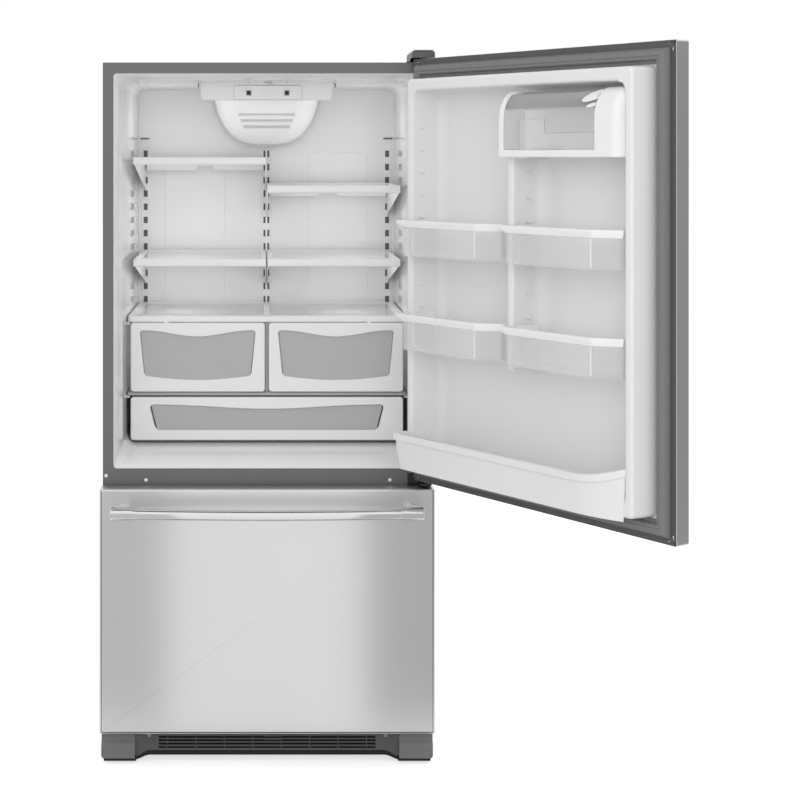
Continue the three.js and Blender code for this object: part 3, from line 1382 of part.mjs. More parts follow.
// ---------------------------------------------------------------- place the origin
// The origin is the middle of the part's footprint, on the floor.
part.updateMatrixWorld(true);
const bounds = new THREE.Box3().setFromObject(part, true);
const middle = bounds.getCenter(point(0, 0, 0));
const whole = new THREE.Group();
part.position.set(-middle.x, -middle.y, -bounds.min.z);
whole.add(part);

export default whole;
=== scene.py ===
"""The dressed look of a bottom freezer refrigerator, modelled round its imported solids.

Pieces are modelled in millimetres in the cabinet's own place: x = 0 is its middle, y = 0 its front face with
+y to the back, z = 0 the floor. The door's pieces are modelled closed and then swung open on the hinge's axis.
"""
import json
import math

import bmesh
import bpy
from mathutils import Matrix, Vector

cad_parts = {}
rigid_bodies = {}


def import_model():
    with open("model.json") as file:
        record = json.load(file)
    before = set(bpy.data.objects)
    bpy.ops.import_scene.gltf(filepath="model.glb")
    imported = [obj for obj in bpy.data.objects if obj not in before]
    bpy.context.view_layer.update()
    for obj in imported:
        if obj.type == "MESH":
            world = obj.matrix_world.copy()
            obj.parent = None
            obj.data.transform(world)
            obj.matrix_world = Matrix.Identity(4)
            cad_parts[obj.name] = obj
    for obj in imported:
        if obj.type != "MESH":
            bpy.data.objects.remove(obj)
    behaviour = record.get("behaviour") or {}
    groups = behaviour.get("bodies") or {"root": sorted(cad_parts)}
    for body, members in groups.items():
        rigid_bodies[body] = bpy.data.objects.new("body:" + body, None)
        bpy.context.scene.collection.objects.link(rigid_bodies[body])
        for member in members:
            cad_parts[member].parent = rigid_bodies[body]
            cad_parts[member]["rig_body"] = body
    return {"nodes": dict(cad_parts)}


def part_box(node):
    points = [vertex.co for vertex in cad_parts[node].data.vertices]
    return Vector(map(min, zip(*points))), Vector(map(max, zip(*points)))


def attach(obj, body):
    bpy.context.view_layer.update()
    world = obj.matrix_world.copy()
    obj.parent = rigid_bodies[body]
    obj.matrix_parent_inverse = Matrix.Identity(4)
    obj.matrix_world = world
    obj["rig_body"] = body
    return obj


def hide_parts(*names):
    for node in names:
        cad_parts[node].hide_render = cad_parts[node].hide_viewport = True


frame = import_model()
for name in ("Cube", "Light", "Camera"):
    if name in bpy.data.objects:
        bpy.data.objects.remove(bpy.data.objects[name])
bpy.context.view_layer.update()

# ------------------------------------------------------------------ sizes, as in the part
HALF_CABINET, CABINET_TOP, CABINET_BOTTOM, CABINET_DEPTH = 412, 1743, 60, 730
MOUTH_HALF, MULLION_LOW, MULLION_HIGH, MOUTH_TOP = 385, 652, 726, 1716
INNER_HALF, FRIDGE_FLOOR, FRIDGE_CEILING, FRIDGE_BACK = 368, 757, 1700, 600
FLARE, LINER_ROUND, MOUTH_ROUND, SHEET = 90, 28, 9, 0.8
FREEZER_MOUTH_LOW, BAY_TOP = 118, 300.3
HALF_DOOR, DOOR_LOW, DOOR_TOP = 414.5, 706, 1749
DRAWER_LOW, DRAWER_TOP = 82, 687
INNER_FACE, OUTER_FACE = -18, -60
DYKE_OUT, DYKE_LOW, DYKE_TOP, CREST = 363.5, 757, 1698, 52
SHELF_FRONT, SHELF_BACK = 185, 585.7
AXIS = Vector((393.5, -41, 0))
OPEN_ANGLE = 125

wrapper_low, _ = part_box("cabinet_wrapper")
TO_FRAME = Matrix.Translation((wrapper_low.x + HALF_CABINET / 1000, wrapper_low.y, 0)) @ Matrix.Scale(0.001, 4)
SWING = Matrix.Translation(AXIS) @ Matrix.Rotation(math.radians(OPEN_ANGLE), 4, "Z") @ Matrix.Translation(-AXIS)
ALONG = {"x": 0, "y": 1, "z": 2}
SIDES = (-1, 1)
SAME_POINT, SAME_PLANE = 0.00001, 0.6  # metres and degrees within which a solid's points and faces are merged


# ------------------------------------------------------------------ finishes
class Value:
    """A shader value; arithmetic on it adds Math nodes to its finish."""

    def __init__(self, finish, socket):
        self.finish, self.socket = finish, socket

    def worked(self, operation, *values):
        return self.finish.add("Math", {"operation": operation}, values)

    def __add__(self, other):
        return self.worked("ADD", self, other)

    def __mul__(self, other):
        return self.worked("MULTIPLY", self, other)

    __radd__, __rmul__ = __add__, __mul__


class Finish:
    """One procedural material, or the nodes of the world."""

    def __init__(self, name, world=None):
        self.material = world or bpy.data.materials.new(name)
        self.material.use_nodes = True
        self.tree = self.material.node_tree
        self.tree.nodes.clear()

    def add(self, kind, settings=None, inputs=(), output=0):
        node = self.tree.nodes.new("ShaderNode" + kind)
        for key, value in (settings or {}).items():
            setattr(node, key, value)
        for key, value in inputs.items() if isinstance(inputs, dict) else enumerate(inputs):
            if isinstance(value, Value):
                self.tree.links.new(value.socket, node.inputs[key])
            else:
                node.inputs[key].default_value = value
        return Value(self, node.outputs[output]) if node.outputs else None

    def place(self, stretch=(1, 1, 1), turn=0):
        """Where a point is on the object, in metres, turned about Z and stretched."""
        coordinates = self.add("TexCoord", output="Object")
        turned = self.add("Mapping", {}, {"Vector": coordinates, "Rotation": (0, 0, math.radians(turn))})
        return self.add("Mapping", {}, {"Vector": turned, "Scale": stretch})

    def noise(self, scale, detail=2, stretch=(1, 1, 1), turn=0):
        return self.add("TexNoise", {}, {"Vector": self.place(stretch, turn), "Scale": scale, "Detail": detail})

    def mixed(self, first, second, factor):
        """Two colours mixed; the node's colour sockets have no names of their own, so they go by number."""
        return self.add("Mix", {"data_type": "RGBA"}, {0: factor, 6: first, 7: second}, output=2)

    def bump(self, height, strength, depth):
        return self.add("Bump", {}, {"Height": height, "Strength": strength, "Distance": depth})

    def surface(self, **inputs):
        shader = self.add("BsdfPrincipled", {}, {key.replace("_", " "): v for key, v in inputs.items()})
        self.add("OutputMaterial", {}, [shader])
        return self.material


def shade(level):
    """A grey from its screen value, 0 to 255."""
    grey = ((level / 255 + 0.055) / 1.055) ** 2.4
    return (grey, grey, grey, 1)


def brushed_steel(name, turn=0, along="x", roughness=0.27):
    """Stainless steel with fine streaks along an axis; turn undoes the swing of a piece on the door."""
    f = Finish(name)
    grain = (1.2, 1.2, 900) if along == "x" else (900, 900, 1.2)
    streaks = f.noise(1.0, 4, grain, turn)
    soft = f.noise(1.6, 2, (1, 1, 0.6), turn)
    return f.surface(
        Base_Color=f.mixed(shade(224), shade(234), streaks * 0.7 + soft * 0.3), Metallic=1.0,
        Roughness=streaks * 0.10 + roughness + soft * 0.03, Normal=f.bump(streaks, 0.05, 0.0002),
    )


def smooth_plastic(name, level, roughness, grain=0.04, coat=0.0, **constants):
    """Moulded or enamelled: a faint mottle, uneven gloss, and a fine grain where it has one."""
    f = Finish(name)
    mottle = f.noise(9, 3)
    fine = f.noise(1400, 2)
    return f.surface(
        Base_Color=f.mixed(shade(level - 2), shade(level + 1), mottle),
        Roughness=mottle * 0.05 + (roughness - 0.025) + fine * 0.02,
        Normal=f.bump(fine, grain, 0.0001 + grain * 0.0004), Coat_Weight=coat, Coat_Roughness=0.08,
        **constants,
    )


def painted_metal(name, level, roughness):
    """Sprayed steel with its orange peel."""
    f = Finish(name)
    peel = f.noise(520, 1)
    cloud = f.noise(4, 2)
    return f.surface(
        Base_Color=f.mixed(shade(level - 3), shade(level + 3), cloud), Roughness=peel * 0.12 + (roughness - 0.06),
        Normal=f.bump(peel, 0.18, 0.0002),
    )


def galvanised(name):
    """Zinc with its spangle."""
    f = Finish(name)
    spangle = f.add("TexVoronoi", {"feature": "F1"}, {"Vector": f.place(), "Scale": 140}, output="Color")
    grey = f.add("RGBToBW", {}, [spangle])
    return f.surface(
        Base_Color=f.mixed(shade(150), shade(196), grey), Metallic=0.9, Roughness=grey * 0.2 + 0.34,
        Normal=f.bump(grey, 0.05, 0.0002),
    )


def rubber(name, level):
    """Matt, with a little dust."""
    f = Finish(name)
    dust = f.noise(60, 4)
    return f.surface(
        Base_Color=f.mixed(shade(level - 5), shade(level + 5), dust), Roughness=dust * 0.15 + 0.55,
        Normal=f.bump(f.noise(900, 2), 0.1, 0.0002),
    )


def clear_plastic(name, level, alpha, edge=0.5, roughness=0.06, grain=0.02):
    """See-through, and thicker to the eye where it is seen edge on, as moulded clear walls are."""
    f = Finish(name)
    flow = f.noise(14, 3)
    grazing = f.add("LayerWeight", {}, {"Blend": 0.35}, output="Facing")
    return f.surface(
        Base_Color=f.mixed(shade(level - 4), shade(level), flow), Roughness=flow * 0.02 + roughness,
        Normal=f.bump(flow, grain, 0.0005), Alpha=grazing * edge + alpha,
    )


def drawn_copper(name):
    """Tube, bright in places and dull in others."""
    f = Finish(name)
    return f.surface(
        Base_Color=f.mixed((0.62, 0.28, 0.15, 1), (0.48, 0.2, 0.1, 1), f.noise(30, 4)), Metallic=1.0,
        Roughness=f.noise(80, 3) * 0.2 + 0.2,
    )


STEEL = brushed_steel("brushed_steel")
DOOR_STEEL = brushed_steel("door_steel", turn=-OPEN_ANGLE)
BAR_STEEL = brushed_steel("bar_steel", roughness=0.12)
POST_STEEL = brushed_steel("upright_bar_steel", along="z", roughness=0.12)
CABINET_PAINT = painted_metal("cabinet_paint", 108, 0.42)
BLACK_PAINT = painted_metal("black_paint", 30, 0.4)
TOE_PLASTIC = smooth_plastic("toe_plastic", 88, 0.5, grain=0.19)
TOE_BLOCK = smooth_plastic("toe_block_plastic", 116, 0.5, grain=0.19)
HOOD = smooth_plastic("hood_plastic", 84, 0.4, grain=0.1)
LINER = smooth_plastic("gloss_liner", 234, 0.05, grain=0)
DOOR_LINER = smooth_plastic("door_liner_plastic", 231, 0.3)
WHITE = smooth_plastic("white_plastic", 238, 0.28)
# the grey of the trims, and painted shade on the plate in the dairy compartment
GREY_TRIM_AND_SHADE = smooth_plastic("grey_trim", 176, 0.4)
# a dark grey for painted shade in the ladders' slots
SLOT_SHADE = smooth_plastic("dark_recess", 96, 0.6)
# near black for painted shade under the toe panel and behind its slots
TOE_SHADE_BLACK = rubber("black_edge", 7)
# the flange's grey paint, darkened as a painted reflection of a dark room
FLANGE_PAINT_AND_REFLECTION = painted_metal("door_flange_paint", 80, 0.5)
SHELF_STEEL = painted_metal("white_shelf_steel", 232, 0.3)
GASKET = rubber("gasket_rubber", 122)
FOAM = rubber("insulation_foam", 205)
ZINC = galvanised("zinc_steel")
COPPER = drawn_copper("copper_tube")
SCREEN = smooth_plastic("display_glass", 22, 0.2)
HOUSING = smooth_plastic("housing_plastic", 236, 0.35)
MILKY = smooth_plastic("milky_lens", 240, 0.3, coat=0.2, Emission_Color=(1, 1, 1, 1), Emission_Strength=0.14)
# the bezel's grey, also painted shade on the lens's ribs
BEZEL_GREY_AND_RIB_SHADE = smooth_plastic("lens_bezel", 214, 0.35)
CLEAR = clear_plastic("clear_plastic", 244, 0.14)
SHELF_GLASS = clear_plastic("shelf_glass", 236, 0.12)
WINDOW = clear_plastic("smoked_window", 210, 0.62, edge=0.2, roughness=0.25)
# a darker clear for painted shade at the top of the dairy cover
SHADED_CLEAR = clear_plastic("tinted_end", 178, 0.4)
# a grey see-through for painted shade along the clear dish's edges
DISH_EDGE_SHADE = clear_plastic("clear_edge", 132, 0.62, edge=0.2)


# ------------------------------------------------------------------ modelling by hand
def only(piece):
    bpy.ops.object.select_all(action="DESELECT")
    piece.select_set(True)
    bpy.context.view_layer.objects.active = piece


def applied(piece):
    """Moves a piece's place, turn and size into its mesh."""
    only(piece)
    bpy.ops.object.transform_apply(location=True, rotation=True, scale=True)
    return piece


def primitive(kind, **settings):
    """One of the plain shapes that modelling starts from."""
    bpy.ops.object.select_all(action="DESELECT")
    getattr(bpy.ops.mesh, f"primitive_{kind}_add")(**settings)
    return applied(bpy.context.object)


def block(x0, x1, y0, y1, z0, z1):
    return primitive("cube", size=1, location=((x0 + x1) / 2, (y0 + y1) / 2, (z0 + z1) / 2),
                     scale=(x1 - x0, y1 - y0, z1 - z0))


def span(side, near, far):
    """Two distances from the middle, as places on x at one side of it."""
    return sorted((side * near, side * far))


def bar(axis, start, end, across, radius, sides=40):
    """A round bar along an axis; across gives its place on the two other axes, in order."""
    turned = {"x": (0, math.pi / 2, 0), "y": (math.pi / 2, 0, 0), "z": (0, 0, 0)}[axis]
    where = list(across)
    where.insert(ALONG[axis], (start + end) / 2)
    return primitive("cylinder", vertices=sides, radius=radius, depth=end - start, location=where, rotation=turned)


def plate(points, axis, start, end):
    """A plate with a drawn outline, given on the two other axes in order, from start to end along the axis."""
    made = primitive("circle", vertices=len(points), radius=1, fill_type="NGON")
    for corner, (a, b) in zip(made.data.vertices, points):
        place = [a, b]
        place.insert(ALONG[axis], start)
        corner.co = place
    along = [0, 0, 0]
    along[ALONG[axis]] = end - start
    return shape(made, "FACE", anything, pushed(*along), facing_out)


def anything(p, d):
    return True


def facing(axis, sign):
    """Chooses the faces that look along an axis."""
    n = ALONG[axis]
    return lambda p, d: sign * d[n] > 0.9


FRONT, REAR, UPPER, UNDER = facing("y", -1), facing("y", 1), facing("z", 1), facing("z", -1)


def facing_out():
    bpy.ops.mesh.select_all(action="SELECT")
    bpy.ops.mesh.normals_make_consistent(inside=False)


def shape(piece, kind, chosen, *steps):
    """Selects the faces or edges that chosen accepts, by place and direction, and works on them."""
    only(piece)
    bpy.ops.object.mode_set(mode="EDIT")
    bpy.ops.mesh.select_mode(type=kind)
    bpy.ops.mesh.select_all(action="DESELECT")
    mesh = bmesh.from_edit_mesh(piece.data)
    for part in mesh.faces if kind == "FACE" else mesh.edges:
        if kind == "FACE":
            wanted = chosen(part.calc_center_median(), part.normal)
        else:
            first, second = (corner.co for corner in part.verts)
            wanted = chosen((first + second) / 2, (second - first).normalized())
        part.select_set(bool(wanted))
    bmesh.update_edit_mesh(piece.data)
    for step in steps:
        step()
    bpy.ops.object.mode_set(mode="OBJECT")
    return piece


def bevelled(width, segments):
    return lambda: bpy.ops.mesh.bevel(offset=width, segments=segments, affect="EDGES")


def rounded(piece, axis, radius, segments=6, near=lambda p: True):
    """Rounds the edges that run along an axis."""
    n = ALONG[axis]
    return shape(piece, "EDGE", lambda p, d: abs(d[n]) > 0.98 and near(p), bevelled(radius, segments))


def erased():
    bpy.ops.mesh.delete(type="FACE")


def inset(width, rise=0):
    return lambda: bpy.ops.mesh.inset(thickness=width, depth=rise)


def pushed(x=0, y=0, z=0):
    return lambda: bpy.ops.mesh.extrude_region_move(TRANSFORM_OT_translate={"value": (x, y, z)})


def shifted(x=0, y=0, z=0):
    return lambda: bpy.ops.transform.translate(value=(x, y, z))


def scaled(x=1, y=1, z=1, about=(0, 0, 0)):
    return lambda: bpy.ops.transform.resize(value=(x, y, z), center_override=about)


def modified(piece, kind, **settings):
    only(piece)
    modifier = piece.modifiers.new("shape", kind)
    for key, value in settings.items():
        setattr(modifier, key, value)
    bpy.ops.object.modifier_apply(modifier=modifier.name)
    return piece


def softened(piece, width, segments=3, angle=35):
    """Rounds every edge that is sharper than the angle."""
    return modified(
        piece, "BEVEL", width=width, segments=segments, limit_method="ANGLE", angle_limit=math.radians(angle),
        use_clamp_overlap=True)


def cut(piece, *tools):
    """Takes the tools' forms out of a piece, and the tools out of the scene."""
    for tool in tools:
        modified(piece, "BOOLEAN", operation="DIFFERENCE", object=tool, solver="EXACT")
        bpy.data.objects.remove(tool)
    return piece


def joined(*pieces):
    """Makes several pieces one object; each keeps its finish."""
    only(pieces[0])
    for piece in pieces:
        piece.select_set(True)
    bpy.ops.object.join()
    return pieces[0]


def another(piece, x=0, y=0, z=0):
    """A copy of a modelled piece, moved, with a mesh of its own."""
    only(piece)
    bpy.ops.object.duplicate()
    made = bpy.context.object
    made.data.transform(Matrix.Translation((x, y, z)))
    return made


def lofted(lower, upper, low, high):
    """A block whose outline, on x and y, goes from the lower one to the upper one, point for point."""
    made = plate(lower, "z", low, high)
    for corner in made.data.vertices:
        if corner.co.z > (low + high) / 2:
            nearest = min(range(len(lower)), key=lambda i: (corner.co.xy - Vector(lower[i])).length)
            corner.co.x, corner.co.y = upper[nearest]
    return made


def painted(piece, finish):
    piece.data.materials.clear()
    piece.data.materials.append(finish)
    return piece


def smooth(piece, angle=35):
    """Smooth shading that keeps sharp edges sharp and the broad faces flat."""
    only(piece)
    bpy.ops.object.shade_smooth_by_angle(angle=math.radians(angle))
    return modified(piece, "WEIGHTED_NORMAL", keep_sharp=True)


def placed(piece, name, body, nodes=(), on_door=False, angle=35):
    """Puts a finished piece in the frame and ties it to its body."""
    piece.name = piece.data.name = name
    piece.matrix_world = TO_FRAME @ SWING if on_door else TO_FRAME
    smooth(applied(piece), angle)
    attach(piece, body)
    if nodes:
        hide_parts(*([nodes] if isinstance(nodes, str) else nodes))
    return piece


def arc(cx, cy, rx, ry, start, end, steps):
    """Points on an ellipse, from one angle to another."""
    turns = [math.radians(start + (end - start) * i / steps) for i in range(steps + 1)]
    return [(cx + rx * math.cos(t), cy + ry * math.sin(t)) for t in turns]


def finished_solid(node, name, finish, width):
    """A CAD solid of the right shape, copied, with its edges eased."""
    source = frame["nodes"][node]
    made = source.copy()
    made.data = source.data.copy()
    for key in [k for k in made.keys() if k.startswith("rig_")]:
        del made[key]
    made.parent = None
    bpy.context.scene.collection.objects.link(made)
    shape(made, "FACE", anything, lambda: bpy.ops.mesh.remove_doubles(threshold=SAME_POINT),
          lambda: bpy.ops.mesh.dissolve_limited(angle_limit=math.radians(SAME_PLANE)))
    if width:
        softened(made, width / 1000, 2, 30)
    made.name = made.data.name = name
    smooth(painted(made, finish))
    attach(made, source["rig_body"])
    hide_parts(node)
    return made


# ------------------------------------------------------------------ cabinet shell and liners
def mouth(low, high):
    """The opening of a compartment through the front flange."""
    return rounded(block(-MOUTH_HALF, MOUTH_HALF, -5, 5, low, high), "y", MOUTH_ROUND, 8)


def cabinet_shell():
    """The painted steel round the sides, top, back and front flange."""
    shell = block(-HALF_CABINET, HALF_CABINET, 0, CABINET_DEPTH, CABINET_BOTTOM, CABINET_TOP)
    rounded(shell, "z", 3.5, 4, lambda p: p.y < 1)
    rounded(shell, "y", 2.5, 4, lambda p: p.z > CABINET_TOP - 1)
    half = HALF_CABINET - SHEET
    inside = block(-half, half, SHEET, CABINET_DEPTH - SHEET, CABINET_BOTTOM - 1, CABINET_TOP - SHEET)
    bay = block(-half, half, CABINET_DEPTH - 2, CABINET_DEPTH + 1, CABINET_BOTTOM - 1, BAY_TOP)
    cut(shell, inside, bay, mouth(MULLION_HIGH, MOUTH_TOP), mouth(FREEZER_MOUTH_LOW, MULLION_LOW))
    return painted(shell, CABINET_PAINT)


def ring_moved(piece, y, old, new, depth):
    """Redraws a liner's ring of rounded corners: half width, low, high and corner radius."""
    h0, l0, t0, r0 = old
    h1, l1, t1, r1 = new
    for corner in piece.data.vertices:
        if abs(corner.co.y - y) > 0.01:
            continue
        ix = max(r0 - h0, min(h0 - r0, corner.co.x))
        iz = max(l0 + r0, min(t0 - r0, corner.co.z))
        dx, dz = (corner.co.x - ix) / r0, (corner.co.z - iz) / r0
        corner.co = (
            ix * (h1 - r1) / (h0 - r0) + dx * r1, depth,
            l1 + r1 + (iz - l0 - r0) * (t1 - l1 - 2 * r1) / (t0 - l0 - 2 * r0) + dz * r1)


def fridge_liner():
    """The moulded tub: its mouth widens in rings towards the front flange."""
    at_back = (INNER_HALF, FRIDGE_FLOOR, FRIDGE_CEILING, LINER_ROUND)
    tub = block(-INNER_HALF, INNER_HALF, FLARE, FRIDGE_BACK, FRIDGE_FLOOR, FRIDGE_CEILING)
    shape(tub, "FACE", FRONT, erased)
    rounded(tub, "y", LINER_ROUND, 8)
    shape(tub, "EDGE", lambda p, d: p.y > FRIDGE_BACK - 0.1 and abs(d.y) < 0.1, bevelled(9, 5))
    flare = [(45, (372, 749, 1704, 24)), (14, (377, 738, 1710, 17)), (1.1, (MOUTH_HALF - 0.4, 726.4, 1715.6, 8.6))]
    last = FLARE
    for depth, ring in flare:
        shape(tub, "EDGE", lambda p, d: abs(p.y - last) < 0.01 and abs(d.y) < 0.1, pushed(y=-0.5))
        ring_moved(tub, last - 0.5, at_back, ring, depth)
        last, at_back = depth, ring
    shape(tub, "FACE", anything, lambda: bpy.ops.mesh.normals_make_consistent(inside=True))
    modified(tub, "SOLIDIFY", thickness=2, offset=-1)
    extras = []
    for s in SIDES:
        for top in (1072.7, 880.7):
            ledge = block(*span(s, 359, 369), 193, 572, top - 8, top)
            extras.append(softened(ledge, 2.5, 3))
        panel = block(*span(s, 120, 292), 598.6, 601, 1040, 1519)
        extras.append(softened(rounded(panel, "y", 10, 5), 1.2, 3))
    plug = softened(bar("x", -369, -365.5, (262, 1677), 8), 1.2, 3)
    return joined(tub, *extras, plug)


placed(cabinet_shell(), "cabinet_shell", "cabinet", "cabinet_wrapper")
placed(painted(fridge_liner(), LINER), "fresh_food_liner", "cabinet", "fridge_liner", angle=40)


plugs = [primitive("uv_sphere", segments=20, ring_count=10, radius=4.6, location=(x, -0.3, z), scale=(1, 0.35, 1))
         for x, z in ((-303, 697), (308, 697), (-403, 708))]
placed(painted(joined(*plugs), WHITE), "flange_plugs", "cabinet")

# ------------------------------------------------------------------ shelves and their ladders
for node, name in (("shelf_ladder_left", "ladder_left"), ("shelf_ladder_right", "ladder_right"),
                   ("shelf_ladder_centre", "ladder_centre")):
    finished_solid(node, name, SHELF_STEEL, 0.35)
# dark strips behind the ladders' slots and two on the back wall: painted shade in the slots
slot_shade_strips = [block(x - 8.5, x + 8.5, 599.74, 599.95, 1046, 1524) for x in (-348, 0, 348)]
slot_shade_strips += [block(*span(s, 337, 363), 594.5, 595.5, 1556.5, 1560.5) for s in SIDES]
slot_shade_strips = joined(*slot_shade_strips)
placed(painted(slot_shade_strips, SLOT_SHADE), "ladder_channels", "cabinet")


def shelf(side, top):
    """A glass shelf on two side brackets that hook into the ladders."""
    x0, x1 = span(side, 2, 350)
    frame_part = block(x0, x1, SHELF_FRONT + 8, SHELF_BACK, top - 12, top)
    opening = rounded(block(x0 + 12, x1 - 12, SHELF_FRONT + 24, SHELF_BACK - 16, top - 20, top + 5), "z", 8, 4)
    softened(cut(frame_part, opening), 1.2, 3)
    nose = rounded(block(x0, x1, SHELF_FRONT, SHELF_FRONT + 22, top - 20, top + 0.4), "x", 5.5, 5,
                   lambda p: p.y < SHELF_FRONT + 1)
    softened(nose, 1.2, 3)
    rear = block(x0 + 6, x1 - 6, SHELF_BACK - 12, SHELF_BACK, top - 38, top - 2)
    middle = (x0 + x1) / 2
    notch = plate([(middle - 30, top - 39), (middle + 30, top - 39), (middle + 20, top - 26), (middle - 20, top - 26)],
                  "y", SHELF_BACK - 20, SHELF_BACK + 5)
    softened(cut(rear, notch), 1.5, 3)
    arms = []
    for near, far in ((0.7, 4), (347, 350)):
        outline = [(SHELF_FRONT + 12, top - 8), (SHELF_FRONT + 20, top - 18), (560, top - 84), (597.2, top - 98),
                   (597.2, top - 8)]
        arms.append(softened(plate(outline, "x", *span(side, near, far)), 0.8, 2))
    white = painted(joined(frame_part, nose, rear, *arms), WHITE)
    pane = softened(block(x0 + 10, x1 - 10, SHELF_FRONT + 22.5, SHELF_BACK - 14, top - 5.6, top - 1.4), 0.6, 2)
    return joined(white, painted(pane, SHELF_GLASS))


for node, side, top in (("shelf_upper_left", -1, 1505), ("shelf_upper_right", 1, 1431),
                        ("shelf_lower_left", -1, 1238), ("shelf_lower_right", 1, 1238)):
    placed(shelf(side, top), node.replace("shelf", "glass_shelf"), "cabinet", node)

# ------------------------------------------------------------------ crispers, deli drawer and their covers
COVER_BACK, COVER_HALF, CRISPER_HALF, CRISPER_FRONT = 589.7, 364, 356.5, 173
WAVE_STEPS, SAG_STEPS = 24, 16


def wave(x0, x1, top, dip):
    """The wavy upper edge of a drawer's window, from right to left."""
    points = []
    for i in range(WAVE_STEPS + 1):
        t = i / WAVE_STEPS
        swell = 0.5 - 0.5 * math.cos(2 * math.pi * t)
        points.append((x1 + (x0 - x1) * t, top - dip * swell ** 1.3 - 1.5 * math.sin(math.pi * t)))
    return points


def window(x0, x1, high, top_inset, side_inset, low_inset, dip, depth, sag):
    top, bottom = high - top_inset, high - depth
    upper = wave(x0 + side_inset, x1 - side_inset, top, dip)
    lower = [(x0 + low_inset + (x1 - x0 - 2 * low_inset) * i / SAG_STEPS,
              bottom - sag * math.sin(math.pi * i / SAG_STEPS)) for i in range(SAG_STEPS + 1)]
    return upper + lower


def crisper(x0, x1, low, high, seat, outline, radius):
    """A drawer: a white front round a smoked window, and a clear tub behind it."""
    face = block(x0, x1, CRISPER_FRONT, CRISPER_FRONT + 16, low, high)
    rounded(face, "y", 8, 5)
    shape(face, "FACE", FRONT, bevelled(4, 4))
    hole = plate(outline, "y", 160, 200)
    rounded(hole, "y", radius, 5, lambda p: corner_of(p, outline))
    cut(face, hole)
    softened(face, 1.4, 3, 50)
    pane = plate([(x * 0.985 + (x0 + x1) * 0.0075, z) for x, z in outline], "y", 180, 182.5)
    tub = block(x0 + 10, x1 - 10, 186, 555, seat, high - 12)
    shape(tub, "FACE", UPPER, inset(3), pushed(z=-(high - 15 - seat)))
    shape(tub, "FACE", lambda p, d: p.z < seat + 4, scaled((x1 - x0 - 36) / (x1 - x0 - 20), 0.96, 1,
                                                            ((x0 + x1) / 2, 370, seat)))
    rounded(tub, "z", 12, 4)
    softened(tub, 2, 2, 50)
    return joined(painted(face, WHITE), painted(pane, WINDOW), painted(tub, CLEAR))


def corner_of(p, outline):
    """Whether a window's edge stands on one of the outline's four corners."""
    corners = (outline[0], outline[WAVE_STEPS], outline[WAVE_STEPS + 1], outline[-1])
    return any(abs(p.x - x) < 0.5 and abs(p.z - z) < 0.5 for x, z in corners)


for node, x0, x1 in (("crisper_left", -CRISPER_HALF, -5), ("crisper_right", 5, CRISPER_HALF)):
    drawn = window(x0, x1, 1072, 19, 24, 36, 15, 138, 11)
    placed(crisper(x0, x1, 892, 1072, 889.3, drawn, 9), node + "_drawer", node, node)
drawn = window(-CRISPER_HALF, CRISPER_HALF, 878, 19, 49, 66, 10, 86, 0)
deli = crisper(-CRISPER_HALF, CRISPER_HALF, 765, 878, 757.3, drawn, 12)
placed(deli, "deli_drawer_front", "deli_drawer", "deli_drawer")


def crisper_cover():
    """A frame with two panes over the crispers, which is the lowest shelf."""
    rim = softened(block(-COVER_HALF, COVER_HALF, 192, COVER_BACK, 1073, 1089), 2, 3)
    holes = [block(*span(s, 8, 342), 211, 571, 1060, 1100) for s in SIDES]
    cut(rim, *holes)
    nose = rounded(block(-CRISPER_HALF, CRISPER_HALF, 181, 196, 1073, 1089), "x", 4, 4, lambda p: p.y < 182)
    clips = [softened(block(x - 6, x + 6, 180, 190, 1069, 1076), 1.5, 3) for x in (-263, 268)]
    white = painted(joined(rim, nose, *clips), WHITE)
    panes = [block(*span(s, 6, 344), 209, 573, 1083, 1087) for s in SIDES]
    return joined(white, painted(joined(*panes), SHELF_GLASS))


def deli_cover():
    """The sheet over the deli drawer, with the post between the crispers."""
    sheet = softened(block(-COVER_HALF, COVER_HALF, 187, COVER_BACK, 881, 889), 1.5, 3)
    nose = softened(block(-CRISPER_HALF, CRISPER_HALF, 183, 190, 881, 889), 1.5, 3)
    upright = softened(block(-4, 4, 189.5, 204, 889, 1072), 1.5, 3)
    clip = softened(block(235, 249, 181, 186, 883, 887), 1, 2)
    return painted(joined(sheet, nose, upright, clip), GREY_TRIM_AND_SHADE)


placed(crisper_cover(), "crisper_glass_cover", "cabinet", "crisper_cover")
placed(deli_cover(), "deli_drawer_cover", "cabinet", "deli_cover")

# ------------------------------------------------------------------ controls and light
LEAN = math.degrees(math.atan2(20, 46.7))
BUTTONS, BUTTON_HEIGHT, DISPLAYS, HOUSING_LOW = (-67, -23, 27, 73), 1671, (-47, 52), 1653


def leaned(piece):
    """Lays a piece drawn upright at y = 0 and z = 0 on the control housing's sloping face."""
    piece.matrix_world = Matrix.Translation((0, 150, HOUSING_LOW)) @ Matrix.Rotation(math.radians(LEAN), 4, "X")
    return applied(piece)


